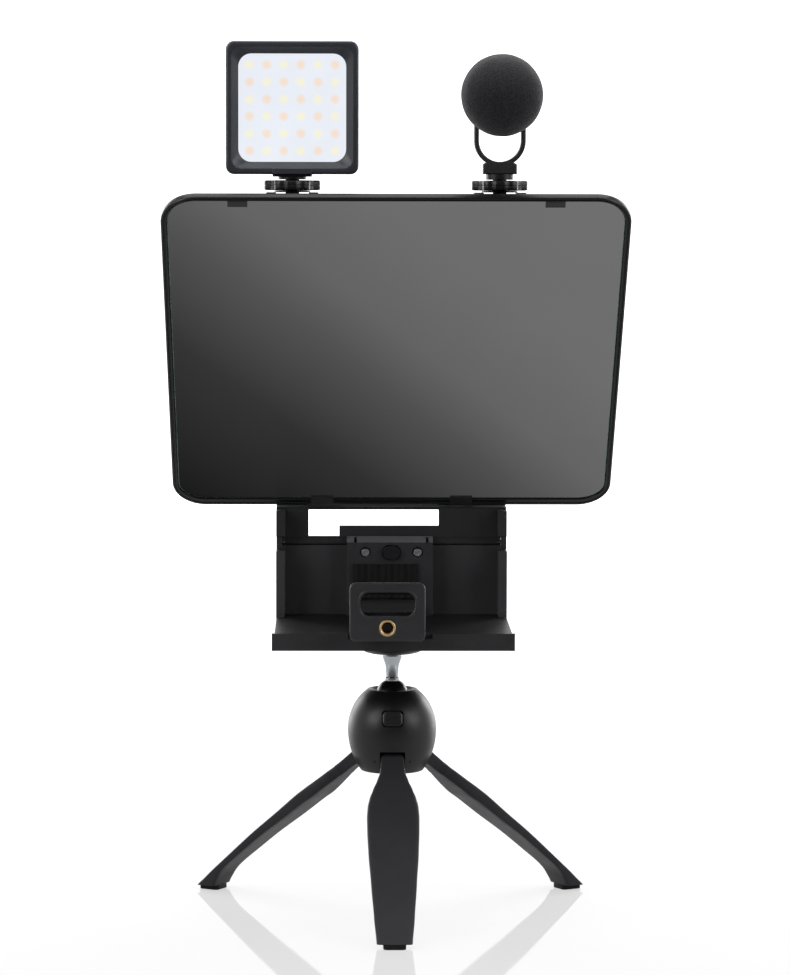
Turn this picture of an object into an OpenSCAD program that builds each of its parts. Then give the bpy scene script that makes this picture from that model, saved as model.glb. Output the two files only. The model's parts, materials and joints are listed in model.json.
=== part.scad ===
// Desktop teleprompter: a table tripod with a ball head carries a tray with a phone clamp,
// a folding back panel, a leaning beam-splitter glass with a light and a microphone on its
// top rail, and a second phone clamp behind the glass. Millimetres, +Z up, front towards -Y.
// The origin is on the table under the middle of the whole object.

/* [Tripod] */
// Distance from the origin back to the tripod's axis
axis_y = 27.6; // [26.6:0.2:28.6]
// Largest radius of the hub
hub_r = 20.4; // [20:0.2:22]
// Height of the hub's underside
hub_z0 = 64.2; // [63.5:0.1:64.5]
// Height of the hub's rim
hub_z1 = 102; // [101.8:0.1:102.2]
// Radius of the ball
ball_r = 7.5; // [7.4:0.05:7.5]
// Height of the ball's centre
ball_z = 99; // [98.9:0.05:99.1]
// Widest half-width of a leg
leg_half_w = 11.9; // [10:0.1:12]
// Thickness of a rubber foot
foot_t = 2.2; // [1.8:0.1:2.2]

/* [Tray and front clamp] */
// Width of the tray's front lip
tray_w = 109.8; // [108:0.2:112]
// Height of the tray's top face
tray_z = 132; // [131.5:0.1:132.2]
// Width of the phone that the front clamp holds at rest
phone_w = 71.5; // [70:0.5:72]
// Width of the front jaw
jaw_w = 34; // [32:0.5:36]
// Sideways place of the front jaw
jaw_x = -2.8; // [-4:0.1:0]

/* [Back panel] */
// Half-width of the panels
panel_hw = 53.9; // [53:0.1:55]
// Height of the fold hinge between the two panels
fold_z = 166; // [165.8:0.1:166.2]
// Thickness of the panels
panel_t = 2.5; // [2:0.1:2.5]

/* [Glass frame] */
// Width of the frame
frame_w = 204; // [198:1:206]
// Length of the frame along its slope
frame_l = 205.5; // [204:0.5:206]
// Slope of the frame above the horizontal, in degrees
frame_slope = 45; // [44.5:0.1:45.5]
// Thickness of the frame
frame_t = 3.4; // [3.2:0.1:3.4]
// Thickness of the glass
glass_t = 1.6; // [1.4:0.1:1.6]

/* [Light and microphone] */
// Distance of the light and the microphone from the middle plane
shoe_x = 45; // [42:0.5:50]
// Width of the light
led_w = 57.6; // [54:0.2:60]
// Height of the light
led_h = 57.4; // [54:0.2:58]
// Rows and columns of light-emitting chips
led_rows = 6; // [4:1:7]
// Radius of the foam windscreen
foam_r = 17.8; // [16:0.2:18]

/* [Rear clamp] */
// Sideways place of the rear clamp at rest
rear_x = -54; // [-60:1:-50]
// Height of the gap that the rear clamp leaves at rest
rear_gap = 71.5; // [68:0.5:74]

/* [Hidden] */
$fn = 64;
EPS = 0.01;
RUN = 0.05;
GAP = 0.3;

// tripod
hub_mid = 83.5;
mouth_r = 11.6;
rim_z = 101.6;
bore_r = 7.65;
seat_z = 84;
socket_r = ball_r + 0.1;
leg_az = [-90, 150, 30];
pivot_r = 14.5;
pivot_z = 70.5;
pivot_eye = 4;
leg_slope = 39.6;
neck_hw = 5.4;
pin_r = 1.5;
pin_len = 17;
cap_r = 8;
cap_t = 2;
screw_r = 1.25;
screw_head_r = 2.3;
spring_r = 1.5;
spring_wire = 0.25;
slot_top = 75;
sole_in = 91.7;
sole_out = 102.2;
sole_hw = 5.1;
button_z = 90.4;
button_w = 9.4;
button_h = 6.8;
stem_r = 3.2;
stem_z0 = 105.7;
flange_z = 117.2;
flange_r = 4.65;
boss_z = 118.4;
quarter_r = 3.175;
insert_top = 128.4;

// tray and clamp
lip_y = -39.2;
tray_y0 = -38;
tray_y1 = 26;
tray_hw = 53.7;
tray_z0 = 124.2;
wall = 2.2;
jaw_z0 = 129.6;
jaw_z1 = 155.9;
jaw_pad_y = -42;
rear_pad_y = jaw_pad_y + phone_w;
pad_t = 1.9;
jaw_t = 4.5;
jaw_y1 = jaw_pad_y - pad_t;
jaw_y0 = jaw_y1 - jaw_t;
slot_w = 24.6;
slot_h = 10.8;
slot_z = 146.3;
pad_rib = 6.2;
pad_base = 1.1;
insert_z = 135.6;
insert_r = 3.75;
insert_bore = 2.6;
tongue_hw = 10;
tongue_z0 = 133.2;
tongue_t = 4.2;
tongue_y1 = 14;
rail_z1 = 139.2;
block_y0 = rear_pad_y + pad_t;
block_x0 = -20.8;
block_x1 = 19.4;
block_z1 = 168.9;
key_w = 7.8;
key_h = 6.4;
key_z = 161.7;
jaw_screw_x = 12.2;
jaw_screw_r = 1.1;
jaw_head_r = 2.1;

// panels
panel_y = 38;
block_y1 = panel_y - 0.7;
fold_y = panel_y + panel_t / 2;
flange_in = 49.8;
barrel_r = 1.6;
barrel_hw = 51.3;
notch_x = 50.4;
ear_in = 51.6;
fold_pin_r = 0.9;
panel_top = 182.5;
ledge_y1 = 49.5;
ledge_z0 = 181.3;
bracket_y = 47;
bracket_top = 196;
bracket_hw = 53.9;
window_x0 = -38.8;
window_x1 = 22.2;
window_z0 = 168.8;
window_z1 = 181.3;
tab_x0 = -24.4;
tab_z = 173.7;

// glass frame, in its own plane: y up the slope, z out of the front face
foot_y = 36;
foot_z = 183.4;
frame_r = 15.5;
side_w = 2.7;
top_w = 2;
bottom_w = 4.6;
lip_w = 3;
recess = 0.8;
hinge_v = 2.5;
hinge_d = 6;
hinge_x = 32.5;
hinge_pin_r = 1;
knuckle_hw = 3.3;
knuckle_r = 2.2;
ear_t = 2.4;
ear_r = 2.3;
clip_x = 68.5;

// cold shoes, light and microphone
shoe_y0 = -101;
shoe_y1 = -81;
shoe_yc = -90;
shoe_z = 325.4;
shoe_hw = 11.2;
slot_hw = 9.45;
slot_z0 = 327.4;
slot_z1 = 329.6;
rail_in = 7.2;
rail_z = 331.1;
wheel_z = 332;
wheel_t = 4.3;
wheel_r = 12.25;
stud_r = 3;
led_z0 = 338.9;
led_y0 = -98;
led_split = -93;
led_y1 = -84;
led_r = 3.7;
led_win = 46.6;
led_wall = 1.8;
led_pitch = 7.4;
led_key_z = led_z0 + led_h / 2 - 14;
led_key_r = 3.6;
board_y = -91.6;
board_t = 1;
foam_y = -113;
mic_z = 373;
mic_r = 8.9;
mic_y0 = -112;
mic_y1 = -62;
lyre_r = 11.2;
lyre_t = 2.1;
lyre_hl = 4;
lyre_base = 339.1;
lyre_ring_z = 353.6;
jack_r = 3.4;
jack_bore = 1.75;

// rear clamp
upright_y = 49.5;
upright_hw = 27;
upright_z0 = 183;
upright_top = 262;
relief_w = 34;
relief_z = 218;
bracket_screw_x = [-20, 20];
bracket_screw_z = [185.5, 192.5];
rail_screw_x = [-16, 16];
rail_y0 = 52;
rail_y1 = 56;
rail_zc = 251;
rail_h = 18;
rail_w = 122;
rail_xc = -31;
rail_slot_w = 66;
rail_slot_x = -55;
rail_slot_h = 5.4;
clamp_stud_r = 2.5;
clamp_stud_y0 = 42.5;
knob_r = 8.2;
knob_t = 8;
spine_y0 = 56.3;
spine_y1 = 63.2;
guide_y0 = 58.3;
guide_y1 = 61.5;
guide_z0 = 223;
spine_hw = 13;
spine_z0 = 212;
rear_z0 = 220.6;
rear_z1 = rear_z0 + rear_gap;
lip_y0 = 72.4;
lip_y1 = 75.6;
spine_top = 280;
rear_pad_t = 1.1;
rear_pad_hw = 12;
rear_pad_y0 = 63.6;
rear_lip = 4.6;

// ---------- helpers ----------

// everything below is drawn around the tripod's axis and then moved to the origin's frame
module placed() {
    translate([0, axis_y, 0]) children();
}

// box from one corner to the other
module box(a, b) {
    translate(a) cube(b - a);
}

// rectangle with round corners, centred
module round_rect(w, h, r) {
    square([w - 2 * r, h], center = true);
    square([w, h - 2 * r], center = true);
    for (sx = [-1, 1], sy = [-1, 1]) {
        translate([sx * (w / 2 - r), sy * (h / 2 - r)]) circle(r = r);
    }
}

// round-cornered plate that faces the front: w along X, h along Z, from y0 to y1
module front_plate(x, z, w, h, r, y0, y1) {
    translate([x, y1, z]) rotate([90, 0, 0]) linear_extrude(y1 - y0) round_rect(w, h, r);
}

// cylinder along Y, from y0 to y1
module rod_y(x, z, r, y0, y1) {
    translate([x, y1, z]) rotate([90, 0, 0]) cylinder(r = r, h = y1 - y0);
}

// cylinder along X, from x0 to x1
module rod_x(y, z, r, x0, x1) {
    translate([x0, y, z]) rotate([0, 90, 0]) cylinder(r = r, h = x1 - x0);
}

// outline given as [y, z] points, extruded along X from x0 to x1
module profile_x(points, x0, x1) {
    translate([x0, 0, 0]) rotate([90, 0, 90]) linear_extrude(x1 - x0) polygon(points);
}

// arc points of an ellipse with half-axes a and b about [0, c], from angle t0 to t1
function arc(a, b, c, t0, t1, n) =
    [for (i = [0:n]) let (t = t0 + (t1 - t0) * i / n) [a * cos(t), c + b * sin(t)]];

// open coil along Y of the given mean radius, wire radius, turns and length
module coil_y(x, y0, z, r, wire, turns, len) {
    steps = 8;
    sides = 5;
    n = turns * steps;
    pts = [for (i = [0:n], k = [0:sides - 1])
        let (a = 360 * i / steps, b = 360 * k / sides, rr = r + wire * cos(b))
        [x + rr * cos(a), y0 + wire + (len - 2 * wire) * i / n + wire * sin(b), z + rr * sin(a)]];
    quads = [for (i = [0:n - 1], k = [0:sides - 1])
        let (k2 = (k + 1) % sides)
        [i * sides + k, i * sides + k2, (i + 1) * sides + k2, (i + 1) * sides + k]];
    ends = [[for (k = [0:sides - 1]) sides - 1 - k], [for (k = [0:sides - 1]) n * sides + k]];
    polyhedron(points = pts, faces = concat(quads, ends), convexity = 8);
}

// thumb wheel with six lobes and a bore, its underside at z
module lobed_wheel(z) {
    difference() {
        translate([0, 0, z]) linear_extrude(wheel_t) {
            circle(r = 10);
            for (i = [0:5]) rotate(60 * i) translate([wheel_r - 3.2, 0]) circle(r = 3.2);
        }
        translate([0, 0, z - 1]) cylinder(r = stud_r + RUN, h = wheel_t + 2);
    }
}

// ---------- tripod ----------

module hub_outline() {
    top = acos(mouth_r / hub_r);
    low = acos(14.2 / hub_r);
    polygon(concat(
        [[0, hub_z0]],
        arc(hub_r, (hub_mid - hub_z0) / sin(low), hub_mid, -low, 0, 8),
        arc(hub_r, (rim_z - hub_mid) / sin(top), hub_mid, 0, top, 9),
        [[mouth_r - 0.6, hub_z1], [mouth_r - 1.6, hub_z1 - 0.1], [7.33, ball_z + 2], [0, ball_z + 2]]
    ));
}

module button_hole(extra) {
    front_plate(0, button_z, button_w + 2 * extra, button_h + 2 * extra, 2, -24, -12);
}

module hub_shell() placed() color("#26272b") {
    difference() {
        rotate_extrude() hub_outline();
        translate([0, 0, ball_z]) sphere(r = socket_r);
        translate([0, 0, seat_z]) cylinder(r = bore_r, h = ball_z - seat_z);
        button_hole(GAP);
        rod_y(0, button_z, 2, -13, -8.6);
        translate([0, 0, hub_z0 - 1]) cylinder(r = cap_r, h = cap_t + 1);
        translate([0, 0, hub_z0 - 1]) cylinder(r = screw_r, h = 12);
        for (a = leg_az) rotate(a) {
            box([9.2, -neck_hw - GAP, hub_z0 - 1], [26, neck_hw + GAP, slot_top]);
            translate([pivot_r, pin_len / 2, pivot_z]) rotate([90, 0, 0]) cylinder(r = pin_r, h = pin_len);
        }
    }
}

module hub_base_cap() placed() color("#2c2d30") {
    difference() {
        translate([0, 0, hub_z0]) cylinder(r = cap_r - RUN, h = cap_t - RUN);
        translate([0, 0, hub_z0 - 1]) cylinder(r = screw_r, h = cap_t + 2);
        translate([0, 0, hub_z0 - 1]) cylinder(r = screw_head_r, h = cap_t);
    }
}

module leg_pins() placed() color("silver") {
    for (a = leg_az) rotate(a) {
        translate([pivot_r, pin_len / 2, pivot_z]) rotate([90, 0, 0]) cylinder(r = pin_r, h = pin_len);
    }
}

module ball_seat() placed() color("#d8d8d2") {
    difference() {
        translate([0, 0, seat_z + GAP]) cylinder(r = bore_r - 0.08, h = 10.3);
        translate([0, 0, ball_z]) sphere(r = socket_r);
        translate([0, 0, seat_z]) cylinder(r = 3, h = 12);
    }
}

module lock_button() placed() color("#2a2b2f") {
    difference() {
        intersection() {
            rotate_extrude() hub_outline();
            button_hole(0);
            box([-10, -30, 80], [10, -14, 100]);
        }
        rod_y(0, button_z, 2, -17, -13);
    }
}

module button_spring() placed() color("silver") {
    coil_y(0, -16.9, button_z, spring_r, spring_wire, 6, 8.2);
}

// side view of a leg, as [radius, height] points: top, tip, sole, underside, pivot eye
function leg_side() = concat([
    [25.7, 65.9], [35.4, 58.1], [46.5, 49.6], [57.2, 40.6], [69.8, 30.4], [81.8, 20], [96.9, 6.9],
    [sole_out, foot_t], [sole_in, foot_t], [90.5, 4.9], [88.5, 8.7], [85.3, 12.3], [65.4, 28.4],
    [42, 45.7], [35.4, 50.3], [26.3, 58.1], [19.4, 63.9]
], [for (t = [245:-15:65]) [pivot_r + pivot_eye * cos(t), pivot_z + pivot_eye * sin(t)]]);

// half of the plan view of a leg, as [distance along it, half-width] points
function leg_plan() = [
    [-6, neck_hw], [6, neck_hw], [10, 5.8], [15, 7.4], [20, 9.2], [25, 10.7], [30, 11.6],
    [36, leg_half_w], [44, 11.8], [58, 11.3], [76, 10.2], [95, 9], [107, 8], [116, 7.3]
];

module leg(az) placed() color("#303134") rotate(az) {
    plan = leg_plan();
    n = len(plan);
    difference() {
        intersection() {
            rotate([90, 0, 0]) linear_extrude(30, center = true) polygon(leg_side());
            translate([pivot_r, 0, pivot_z]) rotate([0, leg_slope, 0])
                linear_extrude(40, center = true)
                polygon(concat(plan, [for (i = [n - 1:-1:0]) [plan[i][0], -plan[i][1]]]));
        }
        translate([pivot_r, 15, pivot_z]) rotate([90, 0, 0]) cylinder(r = pin_r + RUN, h = 30);
    }
}

module foot(az) placed() color("#1b1b1c") rotate(az) {
    translate([(sole_in + sole_out) / 2, 0, 0]) linear_extrude(foot_t)
        round_rect(sole_out - sole_in - 0.4, 2 * sole_hw, 2);
}

module leg_front() leg(leg_az[0]);
module leg_left() leg(leg_az[1]);
module leg_right() leg(leg_az[2]);
module foot_front() foot(leg_az[0]);
module foot_left() foot(leg_az[1]);
module foot_right() foot(leg_az[2]);

module ball() placed() color("#202124") {
    difference() {
        intersection() {
            translate([0, 0, ball_z]) sphere(r = ball_r);
            translate([0, 0, ball_z - 10]) cylinder(r = 10, h = stem_z0 - ball_z + 10);
        }
        translate([0, 0, ball_z - 3]) cylinder(r = 2, h = 12);
    }
}

module ball_stud() placed() color("silver") {
    rotate_extrude() polygon([
        [0, ball_z - 3], [2, ball_z - 3], [2, stem_z0], [stem_r, stem_z0], [stem_r, 111.8],
        [3.4, 113.3], [4.2, 115.6], [flange_r, flange_z], [flange_r, boss_z],
        [quarter_r - 0.1, boss_z], [quarter_r - 0.1, 126.4], [2.5, 127], [0, 127]
    ]);
}

// ---------- tray and front clamp ----------

module tray() placed() color("#232427") {
    difference() {
        union() {
            box([-tray_hw, tray_y0, tray_z0], [tray_hw, tray_y1, tray_z]);
            box([-flange_in + 0.2, tray_y1 - 1, tray_z0], [flange_in - 0.2, panel_y, tray_z]);
            box([-tray_w / 2, lip_y, tray_z0], [tray_w / 2, tray_y0 + 1, tray_z]);
            rotate_extrude() polygon(concat(
                [[0, tray_z0 + 1], [0, boss_z], [8, boss_z]],
                [for (i = [1:6]) [8 + 9 * sin(15 * i), tray_z0 - (tray_z0 - boss_z) * cos(15 * i)]],
                [[17, tray_z0 + 1]]
            ));
        }
        difference() {
            box([-tray_hw + wall, tray_y0 + 1, tray_z0 - 1], [tray_hw - wall, tray_y1 + 4, tray_z - wall]);
            cylinder(r = 17, h = 200);
            for (a = [0:45:315]) rotate(a) box([0, -0.8, 0], [70, 0.8, 200]);
        }
        translate([0, 0, boss_z - 1]) cylinder(r = 5, h = insert_top - boss_z + 1);
        box([-20.4, lip_y - 1, jaw_z0 - 0.2], [17.6, tray_y0 + 1.2, tray_z + 1]);
    }
}

module tray_insert() placed() color("goldenrod") {
    difference() {
        translate([0, 0, boss_z]) cylinder(r = 5, h = insert_top - boss_z);
        translate([0, 0, boss_z - 1]) cylinder(r = quarter_r, h = insert_top);
    }
}

module back_panel() placed() color("#25262a") {
    difference() {
        union() {
            box([-panel_hw, panel_y, tray_z0], [panel_hw, panel_y + panel_t, fold_z - 1.2]);
            for (s = [-1, 1]) {
                box([s > 0 ? flange_in : -panel_hw, tray_y1, tray_z0],
                    [s > 0 ? panel_hw : -flange_in, panel_y + 1, fold_z - 3.2]);
                rod_x(fold_y, fold_z, 1.9, s > 0 ? ear_in : -panel_hw, s > 0 ? panel_hw : -ear_in);
                box([s > 0 ? ear_in : -panel_hw, fold_y - 1.25, fold_z - 4],
                    [s > 0 ? panel_hw : -ear_in, fold_y + 1.25, fold_z]);
            }
        }
        rod_x(fold_y, fold_z, fold_pin_r, -80, 80);
        rod_x(fold_y, fold_z, barrel_r + GAP, -ear_in, ear_in);
    }
}

module fold_pins() placed() color("#e0e0e0") {
    for (s = [-1, 1]) {
        rod_x(fold_y, fold_z, fold_pin_r, s > 0 ? 45 : -panel_hw, s > 0 ? panel_hw : -45);
    }
}

module clamp_rail() placed() color("#2a2b2f") {
    difference() {
        box([jaw_x - 13.5, -35, tray_z], [jaw_x + 13.5, block_y0, rail_z1]);
        box([jaw_x - tongue_hw - GAP, -40, tongue_z0 - GAP],
            [jaw_x + tongue_hw + GAP, 60, tongue_z0 + tongue_t + GAP]);
    }
}

module rear_jaw() placed() color("#2b2c30") {
    difference() {
        profile_x([[block_y0, tray_z], [panel_y, tray_z], [panel_y, 163], [block_y1, 163],
            [block_y1, block_z1], [block_y0, block_z1 - 2.4]], block_x0, block_x1);
        box([jaw_x - tongue_hw - GAP, 20, tongue_z0 - GAP],
            [jaw_x + tongue_hw + GAP, panel_y - 1.5, tongue_z0 + tongue_t + GAP]);
        front_plate(0, key_z, key_w + 2 * GAP, key_h + 2 * GAP, 3, block_y0 - 1, panel_y - 1.2);
        for (s = [-1, 1]) {
            rod_y(s * jaw_screw_x, key_z, jaw_head_r + 0.5, block_y0 - 1, block_y0 + 1.6);
            rod_y(s * jaw_screw_x, key_z, jaw_screw_r, block_y0, panel_y + 1);
            box([s * 16.8 - 0.6, block_y0 - 1, block_z1 - 2.8], [s * 16.8 + 0.6, block_y0 + 5, block_z1 + 1]);
        }
    }
}

// wavy rubber strip from z0 to z1, its ribs pointing along dir and reaching y_tip
module ribbed_pad(x, y_tip, dir, w, z0, z1) {
    ribs = floor((w - 3) / pad_rib);
    rib_r = 3.4;
    translate([x, 0, z0]) linear_extrude(z1 - z0) {
        intersection() {
            for (i = [0:ribs]) {
                translate([(i - ribs / 2) * pad_rib, y_tip - dir * rib_r]) circle(r = rib_r);
            }
            translate([-w / 2, dir > 0 ? y_tip - pad_t : y_tip]) square([w, pad_t]);
        }
        translate([-w / 2, dir > 0 ? y_tip - pad_t : y_tip + pad_t - pad_base]) square([w, pad_base]);
    }
}

module rear_jaw_pad() placed() color("#1c1c1d") {
    ribbed_pad(jaw_x, rear_pad_y, -1, 30, 140.4, 156.4);
}

module jaw_screws() placed() color("gainsboro") {
    for (s = [-1, 1]) difference() {
        union() {
            rod_y(s * jaw_screw_x, key_z, jaw_head_r, block_y0 + 0.5, block_y0 + 1.6);
            rod_y(s * jaw_screw_x, key_z, jaw_screw_r, block_y0 + 1.6, panel_y);
        }
        for (r = [[1.5, 0.3], [0.3, 1.5]]) {
            box([s * jaw_screw_x - r[0], block_y0, key_z - r[1]],
                [s * jaw_screw_x + r[0], block_y0 + 1, key_z + r[1]]);
        }
    }
}

module clamp_button() placed() color("#1f2023") {
    difference() {
        front_plate(0, key_z, key_w, key_h, 3, block_y0 - 1.3, block_y0 + 3);
        rod_y(0, key_z, 2, block_y0 + 1, block_y0 + 4);
    }
}

module clamp_button_spring() placed() color("silver") {
    coil_y(0, block_y0 + 1.1, key_z, spring_r, spring_wire, 5, panel_y - 1.3 - block_y0 - 1.1);
}

module front_jaw() placed() color("#242528") {
    difference() {
        union() {
            front_plate(jaw_x, (jaw_z0 + jaw_z1) / 2, jaw_w, jaw_z1 - jaw_z0, 2.7, jaw_y0, jaw_y1);
            box([jaw_x - tongue_hw, jaw_y1 - 1, tongue_z0],
                [jaw_x + tongue_hw, tongue_y1, tongue_z0 + tongue_t]);
        }
        front_plate(jaw_x + 0.1, slot_z, slot_w, slot_h, 4.2, jaw_y0 - 1, jaw_y1 + 1);
        rod_y(jaw_x, insert_z, insert_r, jaw_y0 - 1, jaw_y1 - 0.4);
    }
}

module front_jaw_pad() placed() color("#1c1c1d") {
    difference() {
        ribbed_pad(jaw_x, jaw_pad_y, 1, 31, 138.6, 155);
        box([jaw_x - 12.4, jaw_y1 - 3, 142.3], [jaw_x + 12.6, jaw_pad_y + 3, 150.4]);
    }
}

module jaw_insert() placed() color("goldenrod") {
    difference() {
        rod_y(jaw_x, insert_z, insert_r, jaw_y0, jaw_y1 - 0.4);
        rod_y(jaw_x, insert_z, insert_bore, jaw_y0 - 1, jaw_y1);
    }
}

// ---------- folding upper panel ----------

module window() {
    translate([0, panel_y + 10, 0]) rotate([90, 0, 0]) linear_extrude(20) polygon([
        [window_x0, window_z0], [tab_x0, window_z0], [tab_x0, tab_z], [window_x1, tab_z],
        [window_x1, window_z1], [window_x0, window_z1]
    ]);
}

// world place of the frame's hinge axis
function hinge_y() = foot_y + (-hinge_v + hinge_d) * sin(45);
function hinge_z() = foot_z + (hinge_v + hinge_d) * sin(45);

module upper_panel() placed() color("#25262a") {
    difference() {
        union() {
            difference() {
                box([-panel_hw, panel_y, fold_z + 2.2], [panel_hw, panel_y + panel_t, panel_top]);
                window();
            }
            rod_x(fold_y, fold_z, barrel_r, -barrel_hw, barrel_hw);
            box([-barrel_hw, panel_y + 0.2, fold_z], [barrel_hw, panel_y + panel_t - 0.2, fold_z + 2.6]);
            for (s = [-1, 1]) {
                box([s > 0 ? flange_in : -panel_hw, 30, fold_z + 3.4],
                    [s > 0 ? panel_hw : -flange_in, panel_y + 1, ledge_z0]);
                for (side = [-1, 1]) {
                    x = s * (hinge_x + side * (knuckle_hw + GAP + ear_t / 2));
                    rod_x(hinge_y(), hinge_z(), ear_r, x - ear_t / 2, x + ear_t / 2);
                    box([x - ear_t / 2, hinge_y(), hinge_z() - 1.9],
                        [x + ear_t / 2, bracket_y + 1, hinge_z() + ear_r]);
                }
            }
            box([-panel_hw, panel_y, ledge_z0], [panel_hw, ledge_y1, panel_top]);
            box([-bracket_hw, bracket_y, ledge_z0], [bracket_hw, ledge_y1, bracket_top]);
        }
        rod_x(fold_y, fold_z, fold_pin_r + RUN, -80, 80);
        for (s = [-1, 1]) {
            box([s * notch_x - 0.6, panel_y - 1, fold_z - 0.75], [s * notch_x + 0.6, fold_y, fold_z + 0.75]);
        }
        rod_x(hinge_y(), hinge_z(), hinge_pin_r, -80, 80);
        for (x = bracket_screw_x, z = bracket_screw_z) rod_y(x, z, screw_r, bracket_y - 1, ledge_y1 + 1);
    }
}

module frame_hinge_pins() placed() color("silver") {
    reach = knuckle_hw + GAP + ear_t;
    for (s = [-1, 1]) {
        rod_x(hinge_y(), hinge_z(), hinge_pin_r, s * hinge_x - reach, s * hinge_x + reach);
    }
}

module rear_upright() placed() color("#232427") {
    difference() {
        front_plate(0, (upright_z0 + upright_top) / 2, 2 * upright_hw, upright_top - upright_z0, 5,
            upright_y, rail_y0);
        front_plate(0, relief_z, relief_w, relief_w, 4, upright_y - 1, rail_y0 + 1);
        for (x = bracket_screw_x, z = bracket_screw_z) rod_y(x, z, screw_r, upright_y - 1, rail_y0 + 1);
        for (x = rail_screw_x) rod_y(x, rail_zc, screw_r, upright_y - 1, rail_y0 + 1);
    }
}

module upright_screws() placed() color("gainsboro") {
    for (x = bracket_screw_x, z = bracket_screw_z) {
        rod_y(x, z, screw_r, bracket_y, rail_y0);
        rod_y(x, z, screw_head_r, rail_y0, rail_y0 + 1.2);
    }
    for (x = rail_screw_x) {
        rod_y(x, rail_zc, screw_r, upright_y, rail_y1 - 1);
        rod_y(x, rail_zc, screw_head_r, upright_y - 1.2, upright_y);
    }
}

module rear_rail() placed() color("#2a2b2f") {
    difference() {
        front_plate(rail_xc, rail_zc, rail_w, rail_h, 4, rail_y0, rail_y1);
        front_plate(rail_slot_x, rail_zc, rail_slot_w, rail_slot_h, 2.65, rail_y0 - 1, rail_y1 + 1);
        for (x = rail_screw_x) rod_y(x, rail_zc, screw_r, rail_y0 - 1, rail_y1 - 1);
    }
}

// ---------- rear clamp ----------

module rear_spine() placed() color("#28292d") {
    difference() {
        union() {
            box([rear_x - spine_hw, spine_y0, spine_z0], [rear_x + spine_hw, spine_y1, spine_top]);
            box([rear_x - spine_hw, spine_y0, spine_z0], [rear_x + spine_hw, lip_y1, rear_z0 - rear_pad_t]);
            box([rear_x - spine_hw, lip_y0, spine_z0], [rear_x + spine_hw, lip_y1, rear_z0 + rear_lip]);
        }
        box([rear_x - 9 - GAP, guide_y0, guide_z0], [rear_x + 9 + GAP, guide_y1, spine_top + 1]);
        rod_y(rear_x, rail_zc, clamp_stud_r + EPS, spine_y0 - 1, guide_y0 + EPS);
    }
}

module rear_lower_pad() placed() color("#1c1c1d") {
    box([rear_x - rear_pad_hw, rear_pad_y0, rear_z0 - rear_pad_t], [rear_x + rear_pad_hw, lip_y0, rear_z0]);
}

module rear_stud() placed() color("silver") {
    rod_y(rear_x, rail_zc, clamp_stud_r, clamp_stud_y0, guide_y0);
}

module rear_knob() placed() color("#1f2023") {
    difference() {
        translate([rear_x, rail_y0 - GAP, rail_zc]) rotate([90, 0, 0]) linear_extrude(knob_t) {
            circle(r = knob_r);
            for (i = [0:7]) rotate(45 * i) translate([knob_r - GAP, 0]) circle(r = 1.3);
        }
        rod_y(rear_x, rail_zc, clamp_stud_r + RUN, clamp_stud_y0 - 1, rail_y0 + 1);
    }
}

module rear_top_jaw() placed() color("#28292d") {
    box([rear_x - 9, guide_y0 + GAP, 240], [rear_x + 9, guide_y1 - GAP, rear_z1 + 2]);
    box([rear_x - spine_hw, spine_y0, rear_z1 + rear_pad_t], [rear_x + spine_hw, lip_y1, rear_z1 + 7]);
    box([rear_x - spine_hw, lip_y0, rear_z1 - rear_lip], [rear_x + spine_hw, lip_y1, rear_z1 + 2]);
}

module rear_top_pad() placed() color("#1c1c1d") {
    box([rear_x - rear_pad_hw, rear_pad_y0, rear_z1], [rear_x + rear_pad_hw, lip_y0, rear_z1 + rear_pad_t]);
}

// ---------- glass frame ----------

// moves a shape drawn in the frame's own plane onto the slope
module on_slope() {
    translate([0, foot_y, foot_z]) rotate([180 - frame_slope, 0, 0]) children();
}

// outline inside the frame's edge, inset by s at the sides, t at the top and b at the bottom
module inner_outline(s, t, b) {
    translate([0, (frame_l - t + b) / 2])
        round_rect(frame_w - 2 * s, frame_l - t - b, max(frame_r - s, 6));
}

module frame_ring() placed() color("#3c3e42") on_slope() {
    difference() {
        union() {
            translate([0, 0, -frame_t]) linear_extrude(frame_t) inner_outline(0, 0, 0);
            for (s = [-1, 1]) {
                rod_x(hinge_v, -hinge_d, knuckle_r, s * hinge_x - knuckle_hw, s * hinge_x + knuckle_hw);
                box([s * hinge_x - knuckle_hw, hinge_v - knuckle_r, -hinge_d],
                    [s * hinge_x + knuckle_hw, hinge_v + knuckle_r, -frame_t + 1]);
            }
        }
        translate([0, 0, -recess - glass_t]) linear_extrude(5) inner_outline(side_w, top_w, bottom_w);
        translate([0, 0, -10]) linear_extrude(20)
            inner_outline(side_w + lip_w, top_w + lip_w, bottom_w + lip_w);
        rod_x(hinge_v, -hinge_d, hinge_pin_r + RUN, -80, 80);
    }
}

module glass() placed() color("#6f7376", 0.6) on_slope() {
    play = 0.15;
    translate([0, 0, -recess - glass_t]) linear_extrude(glass_t)
        inner_outline(side_w + play, top_w + play, bottom_w + play);
}

module glass_clips() placed() color("#141416") on_slope() {
    for (x = [-clip_x, clip_x]) {
        box([x - 4.3, frame_l - 5.4, -recess], [x + 4.3, frame_l - top_w, 0]);
    }
    for (x = [-hinge_x, hinge_x]) {
        box([x - 5.2, 1.3, 0], [x + 5.2, bottom_w, 0.4]);
        box([x - 5.2, bottom_w, -recess], [x + 5.2, 6.4, 0.4]);
    }
}

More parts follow.
